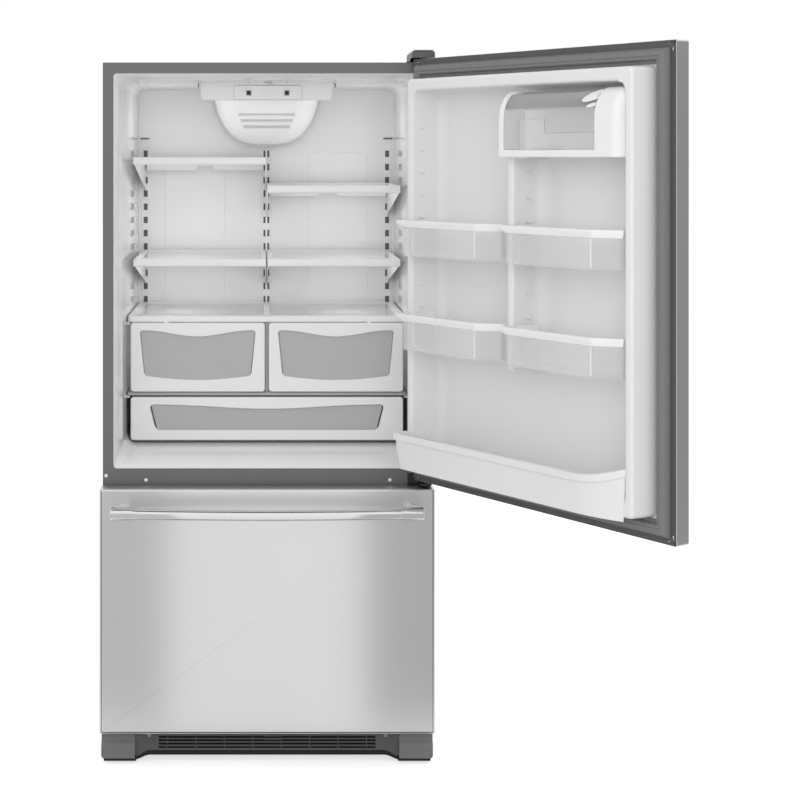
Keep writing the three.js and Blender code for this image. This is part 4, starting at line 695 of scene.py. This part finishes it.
def control_housing():
    """The box on the ceiling, with its raised panel, two displays and the wells of four buttons."""
    body = block(-176, 176, 130, 480, HOUSING_LOW, 1705)
    shape(body, "FACE", UNDER, scaled(169 / 176, 330 / 350, 1, (0, 480, HOUSING_LOW)))
    shape(body, "EDGE", lambda p, d: p.y > 479 and p.z < HOUSING_LOW + 7 and abs(d.x) > 0.9, shifted(z=15))
    rounded(body, "z", 10, 5, lambda p: p.y < 200)
    softened(body, 4, 5)
    wells = [bar("y", 132, 149, (x, BUTTON_HEIGHT), 6.4) for x in BUTTONS]
    cut(body, *wells)
    raised = leaned(softened(rounded(block(-85, 91, -0.8, 1, 3, 41), "y", 5, 5), 0.6, 2))
    outline = leaned(cut(rounded(block(-85.8, 91.8, -0.5, 1, 2.2, 41.8), "y", 5.5, 5),
                         rounded(block(-84.4, 90.4, -2, 3, 3.6, 40.4), "y", 4.5, 5)))
    lips = [leaned(softened(cut(rounded(block(x - 7.5, x + 7.5, -1.4, 0.5, 13.5, 29.5), "y", 2, 4),
                                block(x - 5, x + 5, -3, 2, 16, 27)), 0.3, 2)) for x in DISPLAYS]
    screens = [leaned(block(x - 5.2, x + 5.2, -0.95, 0.4, 15.8, 27.2)) for x in DISPLAYS]
    ticks = [block(x - 1.2, x + 1.2, 126, 132, 1686, 1697) for x in (-177, 177)]
    strokes = [(x, 4, 50) for x in DISPLAYS] + [(3, 11, 48.4), (8, 6, 44.6), (-12, 9, 31), (12, 7, 31), (3, 12, 7)]
    marks = [leaned(block(x - w, x + w, -0.1, 0.6, z, z + 1)) for x, w, z in strokes]
    white = painted(joined(body, raised), HOUSING)
    grey = painted(joined(outline, *lips, *marks), GREY_TRIM_AND_SHADE)
    dark = painted(joined(*screens, *ticks), SCREEN)
    return joined(white, grey, dark)


placed(control_housing(), "control_box", "cabinet", "control_housing")
for number, x in enumerate(BUTTONS, 1):
    cap = softened(bar("y", 140.7, 147.6, (x, BUTTON_HEIGHT), 6), 1.3, 3)
    dimple = softened(bar("y", 140.3, 141, (x, BUTTON_HEIGHT), 2.2, 20), 0.2, 2)
    node = f"control_button_{number}"
    placed(painted(joined(cap, dimple), WHITE), node + "_cap", node, node)


LENS_TOP, LENS_HALF, LENS_REACH, LENS_DROP = 1664, 148, 427, 122.5
UNDERSIDE_RISE = 15 / 330


def dome(grow, low, high, thickness, front=0):
    """The light lens, or a band of it: a flared bowl, cut in half, hung under the control housing."""
    made = primitive("uv_sphere", segments=72, ring_count=48, radius=1)
    for corner in made.data.vertices:
        depth = min(abs(corner.co.z), 1)
        round_width = math.sqrt(1 - depth ** 2)
        if round_width > 0.01:
            flared = (1 - depth ** 3) ** (1 / 3) * (1 - 0.22 * depth) / round_width
            corner.co.x *= flared
            corner.co.y *= flared
    made.scale = (LENS_HALF + grow, LENS_REACH + grow, LENS_DROP + grow)
    made.location = (0, 599.7, LENS_TOP)
    applied(made)
    for place, normal in (((0, 599.6, 0), (0, 1, 0)), ((0, 150, high), (0, -UNDERSIDE_RISE, 1)),
                          ((0, 0, low), (0, 0, -1)), ((0, front, 0), (0, -1, 0))):
        shape(made, "FACE", anything, lambda: bpy.ops.mesh.bisect(
            plane_co=place, plane_no=normal, clear_outer=True, use_fill=False))
    return modified(made, "SOLIDIFY", thickness=thickness, offset=-1)


def rib(z, reach):
    """A short raised line across the lens's front."""
    band = dome(1.4, z, z + 1.1, 2.4)
    return cut(band, *(block(*span(s, reach, 200), 100, 620, z - 30, z + 30) for s in SIDES))


lens = dome(0, 1500, 1652.8, 2.5)
ribs = [rib(1583, 62), rib(1600, 70), rib(1616, 76)]
bezel = dome(8, 1500, 1652.8, 8, 586)
# the ribs take the bezel's grey and not the lens's glow: painted shade along them
placed(joined(painted(lens, MILKY), painted(bezel, BEZEL_GREY_AND_RIB_SHADE), painted(joined(*ribs), BEZEL_GREY_AND_RIB_SHADE)), "light_cover", "cabinet",
       "light_lens")


# ------------------------------------------------------------------ door and drawer panels
def panel_skin(low, high, steel):
    """A folded steel pan, open at the back but for its flange."""
    pan = block(-HALF_DOOR, HALF_DOOR, OUTER_FACE, INNER_FACE, low, high)
    rounded(pan, "y", 4, 5)
    shape(pan, "FACE", FRONT, bevelled(6, 6))
    shape(pan, "FACE", REAR, bevelled(1.2, 3))
    shape(pan, "FACE", lambda p, d: d.y > 0.999, inset(21), erased)
    modified(pan, "SOLIDIFY", thickness=0.8, offset=-1)
    painted(pan, steel)
    # the inner flange faces take a darker grey: partly its paint, partly a painted reflection of a dark room
    pan.data.materials.append(FLANGE_PAINT_AND_REFLECTION)
    for face in pan.data.polygons:
        face.material_index = int(abs(face.normal.y) > 0.9 and face.center.y > INNER_FACE - 3)
    return pan


def gasket(low, high):
    """The seal: a flat foot, a bellows and the soft tube that holds the magnet, mitred at the corners."""
    half, low, high, width = HALF_DOOR - 16, low + 16, high - 16, 32
    seal = block(-half, half, -17.7, -12, low, high)
    flank = ((1.2, 4), (1, 4.2), (1.4, 2.2), (1.2, 0.7))
    groove = ((0.7, -1.2), (1.2, 0), (0.7, 1.2))
    steps = ((2.5, 0), *flank, (8, 0), *groove, (3.5, 0), *((run, -rise) for run, rise in reversed(flank)))
    shape(seal, "FACE", REAR, *(inset(*step) for step in steps))
    cut(seal, block(width - half, half - width, -20, 0, low + width, high - width))
    return painted(seal, GASKET)


def handle(along, at, middle, face, metal):
    """A bowed bar with ringed caps on two posts; along is its axis, at its place on the other one."""
    half, reach, bow, bar_r, cap_r, cap = 380.5, 60, 20, 13, 16, 50
    end = half - cap
    rise = bow * (1 - (end / half) ** 2)
    sag = bow - rise
    turn_radius = (end * end + sag * sag) / (2 * sag)
    angle = 2 * math.asin(end / turn_radius)
    rod = primitive("circle", vertices=36, radius=bar_r, location=(-end, -reach - rise, 0),
                    rotation=(0, math.pi / 2, -angle / 2))
    shape(rod, "EDGE", anything, lambda: bpy.ops.mesh.spin(
        steps=48, angle=-angle, center=(0, -reach - bow + turn_radius, 0), axis=(0, 0, 1)), facing_out)
    pieces = [rod]
    for s in SIDES:
        out = -reach - rise * 0.5
        a, b = span(s, end - 2, half)
        sleeve = bar("x", a, b, (out, 0), cap_r, 48)
        softened(sleeve, 2.2, 4)
        ring = softened(bar("x", *span(s, end - 6, end - 0.5), (out - rise * 0.3, 0), cap_r - 0.8, 48), 1, 3)
        stop = softened(bar("x", *span(s, half - 1, half + 0.1), (out, 0), cap_r - 4, 40), 0.4, 2)
        post = softened(block(*span(s, 335, 375), out, 0.3, -10, 10), 4, 4)
        foot = softened(bar("y", -14, -0.3, (s * 352, 0), 14, 40), 1.5, 3)
        groove = bar("x", *span(s, half - 8, half - 7), (out, 0), cap_r + 0.25, 48)
        pieces += [sleeve, ring, stop, post, foot, groove]
    whole = joined(*pieces)
    turned = Matrix.Rotation(-math.pi / 2 if along == "z" else 0, 4, "Y")
    whole.matrix_world = Matrix.Translation((at, face, middle)) @ turned
    return painted(applied(whole), metal)


placed(panel_skin(DOOR_LOW, DOOR_TOP, DOOR_STEEL), "door_panel", "door", "door_skin", True)
placed(gasket(DOOR_LOW, DOOR_TOP), "door_seal", "door", "door_gasket", True)
placed(handle("z", -326.5, 1150, OUTER_FACE, POST_STEEL), "door_bar_handle", "door", "door_handle", True)
placed(panel_skin(DRAWER_LOW, DRAWER_TOP, STEEL), "drawer_panel", "freezer_drawer",
       "drawer_skin")
placed(gasket(DRAWER_LOW, DRAWER_TOP), "drawer_seal", "freezer_drawer", "drawer_gasket")
placed(handle("x", 0, 640, OUTER_FACE, BAR_STEEL), "drawer_bar_handle", "freezer_drawer",
       "drawer_handle")


# ------------------------------------------------------------------ door liner
def door_liner():
    base = block(-392.5, 392.5, -30, -17.9, 728, 1727)
    softened(cut(base, block(-345, 345, -40, 0, 770, 1685)), 1, 2)
    wall = block(-DYKE_OUT, DYKE_OUT, -37, CREST, DYKE_LOW, DYKE_TOP)
    shape(wall, "FACE", REAR, scaled(0.983, 1, 0.993, (0, CREST, 1227)))
    rounded(wall, "y", 11, 6)
    shape(wall, "EDGE", lambda p, d: p.y > CREST - 0.1 and abs(d.y) < 0.1, bevelled(7, 5))
    recess = block(-323, 323, -34, 60, 788.2, 1659)
    shape(recess, "FACE", REAR, scaled(1.048, 1, 1.019, (0, 60, 1219)))
    rounded(recess, "y", 25, 8)
    shape(recess, "EDGE", lambda p, d: p.y < -33.9, bevelled(22, 8))
    cut(wall, recess)
    shape(wall, "EDGE", lambda p, d: p.y > CREST - 0.01 and abs(p.x) < 338.5 and 779.5 < p.z < 1668 and not (
        abs(p.x) < 325 and 781.5 < p.z < 1665), bevelled(6, 5))
    foot = arc(46, -2, 34, 32, 270, 180, 8)
    half = [*foot, *arc(4, CREST - 6.5, 6, 6, 0, 90, 5)]
    post = plate([(46, -36), *half, *((-x, y) for x, y in reversed(half)), (-46, -36)], "z", 1029, 1503)
    pads = []
    for height in range(1091, 1600, 54):
        for x, y, shown in ((333, 24, True), (-333, 24, True), (13.5, 6, height < 1490), (-13.5, 6, height < 1490)):
            if shown:
                pads.append(softened(block(x - 3.5, x + 3.5, y - 9, y + 9, height - 1.4, height + 1.4), 1.2, 3))
                pads.append(softened(bar("x", x - 4, x + 4, (y, height), 4, 24), 1.5, 3))
    return painted(joined(base, wall, post, *pads), DOOR_LINER)


placed(door_liner(), "door_inner_liner", "door", "door_liner", True, angle=40)
finished_solid("drawer_liner", "drawer_inner_liner", DOOR_LINER, 1.5)


# ------------------------------------------------------------------ door bins
BIN_REACH, BIN_NOSE, BIN_CUT = INNER_FACE + 108, 16, 66


def bin_outline(x0, x1, b0, b1, grow, hinge_corner=30):
    """A door bin seen from above: its tongue between the dykes, and its front, cut away towards the handle."""
    reach, nook = BIN_REACH + grow, 14
    lean = math.degrees(math.atan2(BIN_REACH - CREST, BIN_CUT - BIN_NOSE))
    turn = nook * math.tan(math.radians(lean / 2))
    handle_end = [(x0 + BIN_NOSE - grow, CREST + 0.4),
                  *arc(x0 + BIN_CUT + turn, reach - nook, nook, nook, 90 + lean, 90, 5)]
    hinge_end = arc(x1 + grow - hinge_corner, reach - hinge_corner, hinge_corner, hinge_corner, 90, 0, 10)
    return [(b0 - grow, -10), (b0 - grow, CREST + 0.4), *handle_end, *hinge_end, (x1 + grow, CREST + 0.4),
            (b1 + grow, CREST + 0.4), (b1 + grow, -10)]


def door_bin(x0, x1, b0, b1, top):
    """A clear bin with a white collar, and white beads at its corners that are painted highlights on its clear edges.
    """
    ends = (x0, x1, b0, b1)
    taper = scaled(0.985, 0.975, 1, ((x0 + x1) / 2, CREST, top))
    body = plate(bin_outline(*ends, 0), "z", top - 85.5, top - 16)
    softened(shape(body, "FACE", UNDER, taper), 4, 4, 60)
    hollow = plate(bin_outline(*ends, -2.6), "z", top - 82.5, top + 5)
    softened(shape(hollow, "FACE", UNDER, taper), 3, 3, 60)
    cut(body, hollow)
    collar = lofted(bin_outline(*ends, 1), bin_outline(*ends, 3.4, 6), top - 17, top - 7)
    shape(collar, "FACE", UPPER, pushed(z=7))
    softened(collar, 1.6, 3, 50)
    cut(collar, plate(bin_outline(*ends, -3), "z", top - 30, top + 8))
    # white beads at the corners: painted highlights where the clear walls turn
    edges = [bar("z", top - 79, top - 19, (x0 + BIN_CUT + 3.5, BIN_REACH - 1.2), 1.7, 16),
             bar("z", top - 79, top - 19, (x1 - 3, CREST + 2), 1.5, 16)]
    return joined(painted(body, CLEAR), painted(joined(collar, *edges), WHITE))


BIN_PITCH, LEVEL_PITCH, UPPER_RIM = 354, 225, 1355.5
model_bin = door_bin(6, 348, 25, 327, UPPER_RIM)
for level, drop in (("upper", 0), ("lower", LEVEL_PITCH)):
    for side, along in (("hinge_side", 0), ("handle_side", BIN_PITCH)):
        placed(another(model_bin, x=-along, z=-drop), f"{level}_bin_{side}", "door",
               f"door_bin_{level}_{side}", True)
bpy.data.objects.remove(model_bin)


BOTTOM_LOW, BOTTOM_RIM, SWEEP_X, SWEEP_RUN, END_LIFT, FLOOR_SLOPE = 752, 842, -235, 106, 20, 0.15


def wide_outline(grow, back):
    """The bottom bin seen from above: square at the hinge, and swept back in one long curve at the handle."""
    reach, radius = INNER_FACE + 114 + grow, 150 + grow
    sweep = arc(SWEEP_X, reach - radius, radius, radius, 135, 90, 14)
    hinge = arc(352 + grow, reach - 6, 6, 6, 90, 0, 4)
    return [(sweep[0][0], back), *sweep, *hinge, (358 + grow, back)]


def lifted_end(piece, above):
    """Lifts a rim towards the handle, where it meets the raised wall."""
    for corner in piece.data.vertices:
        if corner.co.z > above and corner.co.x < SWEEP_X:
            corner.co.z += END_LIFT * ((SWEEP_X - corner.co.x) / SWEEP_RUN) ** 2
    return piece


def bottom_bin():
    """The deep bin along the door's lower edge."""
    low, high = BOTTOM_LOW, BOTTOM_RIM
    body = plate(wide_outline(-2, CREST + 0.4), "z", low, high)
    hollow = plate(wide_outline(-5, CREST - 5), "z", low + 6, high + 9)
    for piece, height in ((body, low), (hollow, low + 6)):
        shape(piece, "FACE", UNDER, scaled(0.972, 0.88, 1, (-145, CREST, height)))
        for corner in piece.data.vertices:  # the cabinet's floor rises under it when the door is shut
            if corner.co.z < height + 1:
                corner.co.z += FLOOR_SLOPE * (corner.co.y - CREST)
        lifted_end(piece, high - 10)
        softened(piece, 9 if piece == body else 6, 5, 60)
    cut(body, hollow)
    rail = lifted_end(plate(wide_outline(0.5, CREST + 0.4), "z", high - 15, high + 0.2), high - 20)
    softened(rail, 2.5, 4, 60)
    cut(rail, plate(wide_outline(-4.5, CREST - 5), "z", high - 40, high + 40))
    return painted(joined(body, rail), DOOR_LINER)


placed(bottom_bin(), "bottom_bin", "door", "door_bin_bottom", True)


# ------------------------------------------------------------------ dairy compartment
DAIRY_LOW, DAIRY_TOP, DAIRY_REACH, LIP_HEIGHT = 1507, 1655, INNER_FACE + 94, 15.5
ROUND_DEEP, ROUND_HIGH = 50, 66
DAIRY_X0, DAIRY_X1, FAIRING_X, CHEEK_X = -338, 12, -275.5, -3
COVER_EDGE, SHADE_LOW, COVER_PIVOT = 48.4, 1612, (64, 1640)


def dairy_profile(back, grow, low):
    """The compartment seen from its end, on y and z: upright in front, and round towards the back on top."""
    y, z, deep, high = DAIRY_REACH - ROUND_DEEP, DAIRY_TOP - ROUND_HIGH, ROUND_DEEP + grow, ROUND_HIGH + grow
    turn = math.degrees(math.acos(max(0, (back - y) / deep)))
    ending = [(back, z + high)] if back < y - 1 else []
    start = math.degrees(math.asin(max(0, (low - z) / high)))
    upright = [(back, low)] if low > z else [(back, low), (DAIRY_REACH + grow, low)]
    return upright + arc(y, z, deep, high, start, turn, 16) + ending


def dairy_housing():
    """The compartment behind the cover: two white ends, a lip, a tray, and the clear dish in it."""
    low = DAIRY_LOW
    cheek = softened(plate(dairy_profile(6, 0, low), "x", CHEEK_X, DAIRY_X1), 2.5, 5)
    fairing = plate(dairy_profile(6, 0, low), "x", DAIRY_X0, FAIRING_X)
    shape(fairing, "EDGE", lambda p, d: p.x < DAIRY_X0 + 0.1 and p.y > 8 and p.z > low + 1, bevelled(18, 8))
    softened(fairing, 1.5, 3, 50)
    lip = block(DAIRY_X0 + 0.5, DAIRY_X1 - 0.2, CREST - 4, DAIRY_REACH + 0.5, low - 0.3, low + LIP_HEIGHT)
    rounded(lip, "z", 18, 8, lambda p: p.x < 0 and p.y > DAIRY_REACH)
    softened(lip, 2, 4, 50)
    tray = softened(block(-327, -25, -12, 54, low, low + 4), 1, 2)
    y, z = DAIRY_REACH - ROUND_DEEP, DAIRY_TOP - ROUND_HIGH
    open_turn = math.degrees(math.acos((COVER_EDGE - y) / ROUND_DEEP))
    edge_y, edge_z = y + (ROUND_DEEP - 1) * math.cos(math.radians(open_turn)), z + (ROUND_HIGH - 2) * math.sin(
        math.radians(open_turn))
    roof = [(edge_y, edge_z), (6, edge_z - 3), (6, edge_z - 5.5), (edge_y, edge_z - 2.5)]
    roof = softened(plate(roof, "x", FAIRING_X - 1, CHEEK_X + 1), 0.6, 2, 60)
    white = painted(joined(cheek, fairing, lip, tray, roof), WHITE)
    # a grey plate behind the cover's upper part: painted shade under the compartment's roof
    shaded = painted(block(FAIRING_X - 4, CHEEK_X + 4, 4, 6.5, SHADE_LOW, DAIRY_TOP - 3), GREY_TRIM_AND_SHADE)
    outline = [(-34, low + 4), (FAIRING_X, low + 4), (FAIRING_X, 1559.5), (-113, 1559.5), (-111, 1591), (-34, 1591)]
    dish = painted(softened(plate(outline, "y", 56, 58), 0.5, 2, 60), CLEAR)
    # a grey outline along the clear dish's edges: painted shade where its edges show
    edge = [(FAIRING_X, 1558.7), (-114, 1558.7), (-112, 1590.2), (-35, 1590.2), (-35, low + 4), (-34, low + 4),
            (-34, 1591.2), (-113, 1591.2), (-115, 1559.9), (FAIRING_X, 1559.9)]
    return joined(white, shaded, dish, painted(plate(edge, "y", 55.8, 58.4), DISH_EDGE_SHADE))


def lobe(x, turn, size, tilt):
    """A soft swelling on the cover's round, at an angle of the round, drawn out along the cover and tilted."""
    at = math.radians(turn)
    place = Vector((x, DAIRY_REACH - ROUND_DEEP + (ROUND_DEEP - 1) * math.cos(at),
                    DAIRY_TOP - ROUND_HIGH + (ROUND_HIGH - 1) * math.sin(at)))
    made = primitive("uv_sphere", segments=40, ring_count=20, radius=1, scale=size)
    made.matrix_world = Matrix.Translation(place) @ Matrix.Rotation(at, 4, "X") @ Matrix.Rotation(
        math.radians(tilt), 4, "Y")
    return cut(applied(made), block(-400, FAIRING_X + 1.2, -50, 120, 1500, 1700))


def dairy_cover():
    """The clear flip-up cover, with painted shade darkening its ends and its upper part, and two white swellings on
    its round.
    """
    low, start, end = DAIRY_LOW + LIP_HEIGHT + 1, FAIRING_X + 0.8, CHEEK_X - 0.8
    shell = plate(dairy_profile(40, -1, low), "x", start, end)
    inner = plate(dairy_profile(30, -3.5, low - 5), "x", -300, 10)
    cut(shell, inner, block(-300, 10, 20, COVER_EDGE, 1500, 1700))
    softened(shell, 0.8, 3, 50)
    cheeks = []
    for x in (start + 0.4, end - 3.4):
        side = plate(dairy_profile(COVER_EDGE, -1.3, SHADE_LOW), "x", x, x + 3)
        cheeks.append(softened(side, 0.6, 2, 50))
    pull = softened(block(-182, -98, DAIRY_REACH - 4, DAIRY_REACH + 5, low + 2, low + 5), 1.2, 3)
    pins = [bar("x", a, b, COVER_PIVOT, 2.5, 24) for a, b in ((start - 5, start + 2), (end - 2, end + 5))]
    # above SHADE_LOW the shell and its ends take the darker clear: painted shade of the compartment's top
    painted(shell, CLEAR).data.materials.append(SHADED_CLEAR)
    for face in shell.data.polygons:
        face.material_index = int(face.center.z > SHADE_LOW)
    clear = joined(shell, painted(joined(pull, *pins), CLEAR))
    # two white swellings on the cover's round
    white_swellings = painted(joined(lobe(-263, 47, (31, 3.5, 15), 28), lobe(-266, 25, (17, 3, 4.5), 12)), WHITE)
    return joined(clear, painted(joined(*cheeks), SHADED_CLEAR), white_swellings)


placed(dairy_housing(), "dairy_compartment", "door", "dairy_housing", True)
placed(dairy_cover(), "dairy_clear_cover", "dairy_cover", "dairy_cover", True)

# ------------------------------------------------------------------ solids whose shape already is right
for node, name, finish, slot, width in (
        ("cabinet_foam", "insulation_block", FOAM, "insulation", 0),
        ("freezer_liner", "freezer_inner_liner", LINER, "liner", 0),
        ("machine_cover", "machine_space_cover", ZINC, "zinc_steel", 0.25),
        ("base_frame", "base_plate", ZINC, "zinc_steel", 0.6),
        ("levelling_foot_left", "foot_left", TOE_PLASTIC, "dark_plastic", 1),
        ("levelling_foot_right", "foot_right", TOE_PLASTIC, "dark_plastic", 1),
        ("rear_roller_left", "roller_left", TOE_PLASTIC, "dark_plastic", 1),
        ("rear_roller_right", "roller_right", TOE_PLASTIC, "dark_plastic", 1),
        ("top_hinge_bracket", "upper_hinge", BLACK_PAINT, "black_steel", 0.6),
        ("top_hinge_cover", "upper_hinge_hood", HOOD, "dark_plastic", 1.2),
        ("centre_hinge_bracket", "middle_hinge", BLACK_PAINT, "black_steel", 0.8),
        ("slide_rail_left", "rail_left", ZINC, "zinc_steel", 0.6),
        ("slide_rail_right", "rail_right", ZINC, "zinc_steel", 0.6),
        ("slide_member_left", "moving_rail_left", ZINC, "zinc_steel", 0.6),
        ("slide_member_right", "moving_rail_right", ZINC, "zinc_steel", 0.6),
        ("basket_carrier", "carrier", ZINC, "zinc_steel", 1),
        ("freezer_basket", "lower_basket", WHITE, "white_plastic", 1),
        ("freezer_basket_upper", "upper_freezer_basket", WHITE, "white_plastic", 1),
        ("evaporator_cover", "evaporator_panel", WHITE, "white_plastic", 1),
        ("evaporator_coil", "evaporator_tube", ZINC, "zinc_steel", 0),
        ("evaporator_fan", "freezer_fan", TOE_PLASTIC, "dark_plastic", 0.6),
        ("condenser_fan", "machine_fan", TOE_PLASTIC, "dark_plastic", 0.6),
        ("compressor", "compressor_can", BLACK_PAINT, "black_steel", 0.8),
        ("condenser_coil", "condenser_tube", COPPER, "copper", 0)):
    finished_solid(node, name, finish, width)
HOOD_SHORTER = 0.02  # metres off the hood's inner end
hood = bpy.data.objects["upper_hinge_hood"]
hood_left, hood_right = (corner.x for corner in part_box("top_hinge_cover"))
for corner in hood.data.vertices:
    if corner.co.x < (hood_left + hood_right) / 2:
        corner.co.x += HOOD_SHORTER

# ------------------------------------------------------------------ toe panel
TOE_TOP, TOE_INNER, PANEL_FACE, TOE_FACE = 78, 325, -24, -36


def swept(low, high, start, end, steps=8):
    """The soft step along the panel's lower edge, from a toe block's foot up to the middle."""
    return [(start + (end - start) * i / steps, low + (high - low) * (0.5 - 0.5 * math.cos(math.pi * i / steps)))
            for i in range(steps + 1)]


def toe_sheet(foot, middle, half, y0, y1, top):
    """A sheet with the panel's outline, whose middle stands higher than its ends."""
    lower = swept(foot, middle, -half, -half + 42) + swept(middle, foot, half - 42, half)
    return plate(lower + [(half, top), (-half, top)], "y", y0, y1)


def toe_panel():
    """The slotted grille between two blocks, with a black strip under it and black sheets under the blocks and behind
    the slots, which are painted shade.
    """
    sheet = toe_sheet(13, 30, TOE_INNER + 8, PANEL_FACE, PANEL_FACE + 4, TOE_TOP)
    cut(sheet, *(block(-270, 270, -40, 0, z, z + 5.3) for z in (34.6, 43, 51.4, 59.8)))
    softened(sheet, 0.5, 2)
    ribs = [block(x - 1, x + 1, PANEL_FACE + 0.8, PANEL_FACE + 3.5, 33, 70)
            for x in (s * (35.4 + 70.8 * i) for s in SIDES for i in range(4))]
    bars = [softened(block(-8, 32, PANEL_FACE - 0.8, PANEL_FACE + 1, z, z + 2.6), 0.6, 2) for z in (64, 55.6)]
    nose = [(PANEL_FACE + 1, 13), (TOE_FACE, 13), (TOE_FACE, 43), (TOE_FACE + 3, 50), (PANEL_FACE - 3, 56),
            (PANEL_FACE - 2, 70), (PANEL_FACE + 1, 72)]
    blocks = []
    for s in SIDES:
        toe = plate(nose, "x", *span(s, TOE_INNER + 3, HALF_CABINET))
        rounded(toe, "y", 8, 5, lambda p: abs(p.x) > HALF_CABINET - 1 and p.z < 20)
        softened(toe, 2.5, 4, 20)
        back = block(*span(s, HALF_CABINET - 4, HALF_CABINET), PANEL_FACE + 1, -0.3, 13, TOE_TOP)
        blocks += [toe, softened(back, 0.8, 2)]
        blocks.append(block(*span(s, TOE_INNER + 8, HALF_CABINET - 1), PANEL_FACE + 0.5, PANEL_FACE + 4, 13,
                            TOE_TOP))
    grey = joined(painted(joined(sheet, *ribs, *bars), TOE_PLASTIC), painted(joined(*blocks), TOE_BLOCK))
    # the black strip, the sheets under the toe blocks and the sheet behind the slots are painted shade
    strip = toe_sheet(5, 17.5, TOE_INNER + 8, PANEL_FACE + 2, PANEL_FACE + 5, 40)
    shade_under_toes = [softened(block(*span(s, TOE_INNER, HALF_CABINET - 6), TOE_FACE + 2, -2, 6, 16), 2, 3) for s in SIDES]
    slot_shade_sheet = block(-280, 280, PANEL_FACE + 8, PANEL_FACE + 9, 34, TOE_TOP)
    black = painted(joined(strip, *shade_under_toes, slot_shade_sheet), TOE_SHADE_BLACK)
    screws = [softened(bar("y", PANEL_FACE - 1.6, PANEL_FACE, (x, 67), 5, 24), 0.8, 3) for x in (-293, 295)]
    return joined(grey, black, painted(joined(*screws), ZINC))


placed(toe_panel(), "toe_panel", "cabinet", "toe_grille")

# ------------------------------------------------------------------ floor, light and camera
floor = primitive("plane", size=60, location=(0, 0, -0.0005))
floor.name = "studio_floor"


def ray(finish, kind):
    return finish.add("LightPath", output=f"Is {kind} Ray")


def shown_as_white(finish):
    """White to the camera and in reflections, and a pale surface to the light."""
    eye, mirror, glass = (ray(finish, kind) for kind in ("Camera", "Glossy", "Transmission"))
    return eye.worked("MAXIMUM", eye, mirror.worked("MAXIMUM", mirror, glass))


PURE_WHITE = (1, 1, 1, 1)
ground = Finish("pale_floor")
pale = ground.add("BsdfDiffuse", {}, [(0.7, 0.7, 0.7, 1)])
lifted = ground.add("AddShader", {}, (pale, ground.add("Emission", {}, (PURE_WHITE, 0.6))))
mirrored = ground.add("Emission", {}, (PURE_WHITE, 0.95))
seen = ground.add("MixShader", {}, (ray(ground, "Camera"), mirrored, lifted))
ground.add("OutputMaterial", {}, [ground.add("MixShader", {}, (shown_as_white(ground), pale, seen))])
floor.data.materials.append(ground.material)

world = bpy.data.worlds.new("studio")
bpy.context.scene.world = world
sky = Finish("sky", world)
white = sky.add("Background", {}, (PURE_WHITE, 1.0))
soft_light = sky.add("Background", {}, (PURE_WHITE, 0.89))
sky.add("OutputWorld", {}, [sky.add("MixShader", {}, (shown_as_white(sky), soft_light, white))])


def lamp(name, kind, place, power, towards=None, size=()):
    """A lamp at its place in the cabinet's millimetres; only its light is seen, not the lamp."""
    light = bpy.data.lights.new(name, kind)
    light.energy = power
    if kind == "AREA":
        light.shape, light.size, light.size_y = "RECTANGLE", *size
    else:
        light.shadow_soft_size = size[0]
    made = bpy.data.objects.new(name, light)
    bpy.context.scene.collection.objects.link(made)
    made.location = TO_FRAME @ Vector(place)
    if towards:
        made.rotation_euler = (Vector(towards) - Vector(place)).to_track_quat("-Z", "Y").to_euler()
    made.visible_camera = made.visible_glossy = False


lamp("front_light", "AREA", (250, -3200, 1900), 22, (50, 300, 1100), (1.6, 1.8))
FILLS = (("upper", 1600, 285, 0.3), ("middle", 1345, 225, 0.34), ("lower", 1165, 225, 0.34),
         ("crisper", 990, 225, 0.14))
for level, height, aside, power in FILLS:
    for s, side in zip(SIDES, ("left", "right")):
        lamp(f"{level}_fill_{side}", "POINT", (s * aside, 330, height), power, size=(0.07,))


def card(name, corner, opposite, level):
    """A grey card outside the view, which only the steel mirrors, between two opposite corners."""
    (x0, y0, z0), (x1, y1, z1) = corner, opposite
    made = primitive("cube", size=0.001)
    made.location = TO_FRAME @ Vector(((x0 + x1) / 2, (y0 + y1) / 2, (z0 + z1) / 2))
    made.scale = (max(1, x1 - x0), max(1, y1 - y0), max(1, z1 - z0))
    made.name = name
    for seen in ("camera", "diffuse", "transmission", "shadow", "volume_scatter"):
        setattr(made, "visible_" + seen, False)
    grey = Finish(name)
    grey.add("OutputMaterial", {}, [grey.add("Emission", {}, (shade(level), 1.0))])
    made.data.materials.append(grey.material)


CARD_OUT, CARD_GAP, CARD_Y, CARD_HEIGHT = 1900, 265, -350, 720
card("left_card", (-CARD_OUT, CARD_Y, 0), (-CARD_GAP, CARD_Y, CARD_HEIGHT), 205)
card("right_card", (CARD_GAP, CARD_Y, 0), (CARD_OUT, CARD_Y, CARD_HEIGHT), 190)
card("door_card", (2400, -2600, 0), (2400, 300, 2300), 150)
card("top_card", (-1500, -820, 2600), (1500, -20, 2600), 50)
card("low_card", (-420, -190, 2), (420, -75, 2), 50)

# The place comes from the photograph's vanishing point; the shift sets the object where it stands in it
CAMERA_PLACE, LENS_LENGTH, SHIFT_X, SHIFT_Y = (-12.6, -3963, 1512), 71.2, 0.1725, -0.3066
camera = bpy.data.objects.new("camera", bpy.data.cameras.new("camera"))
bpy.context.scene.collection.objects.link(camera)
camera.location = TO_FRAME @ Vector(CAMERA_PLACE)
camera.rotation_euler = (math.radians(90), 0, 0)
camera.data.lens = LENS_LENGTH
camera.data.shift_x, camera.data.shift_y = SHIFT_X, SHIFT_Y
bpy.context.scene.camera = camera
bpy.context.scene.view_settings.view_transform = "Standard"
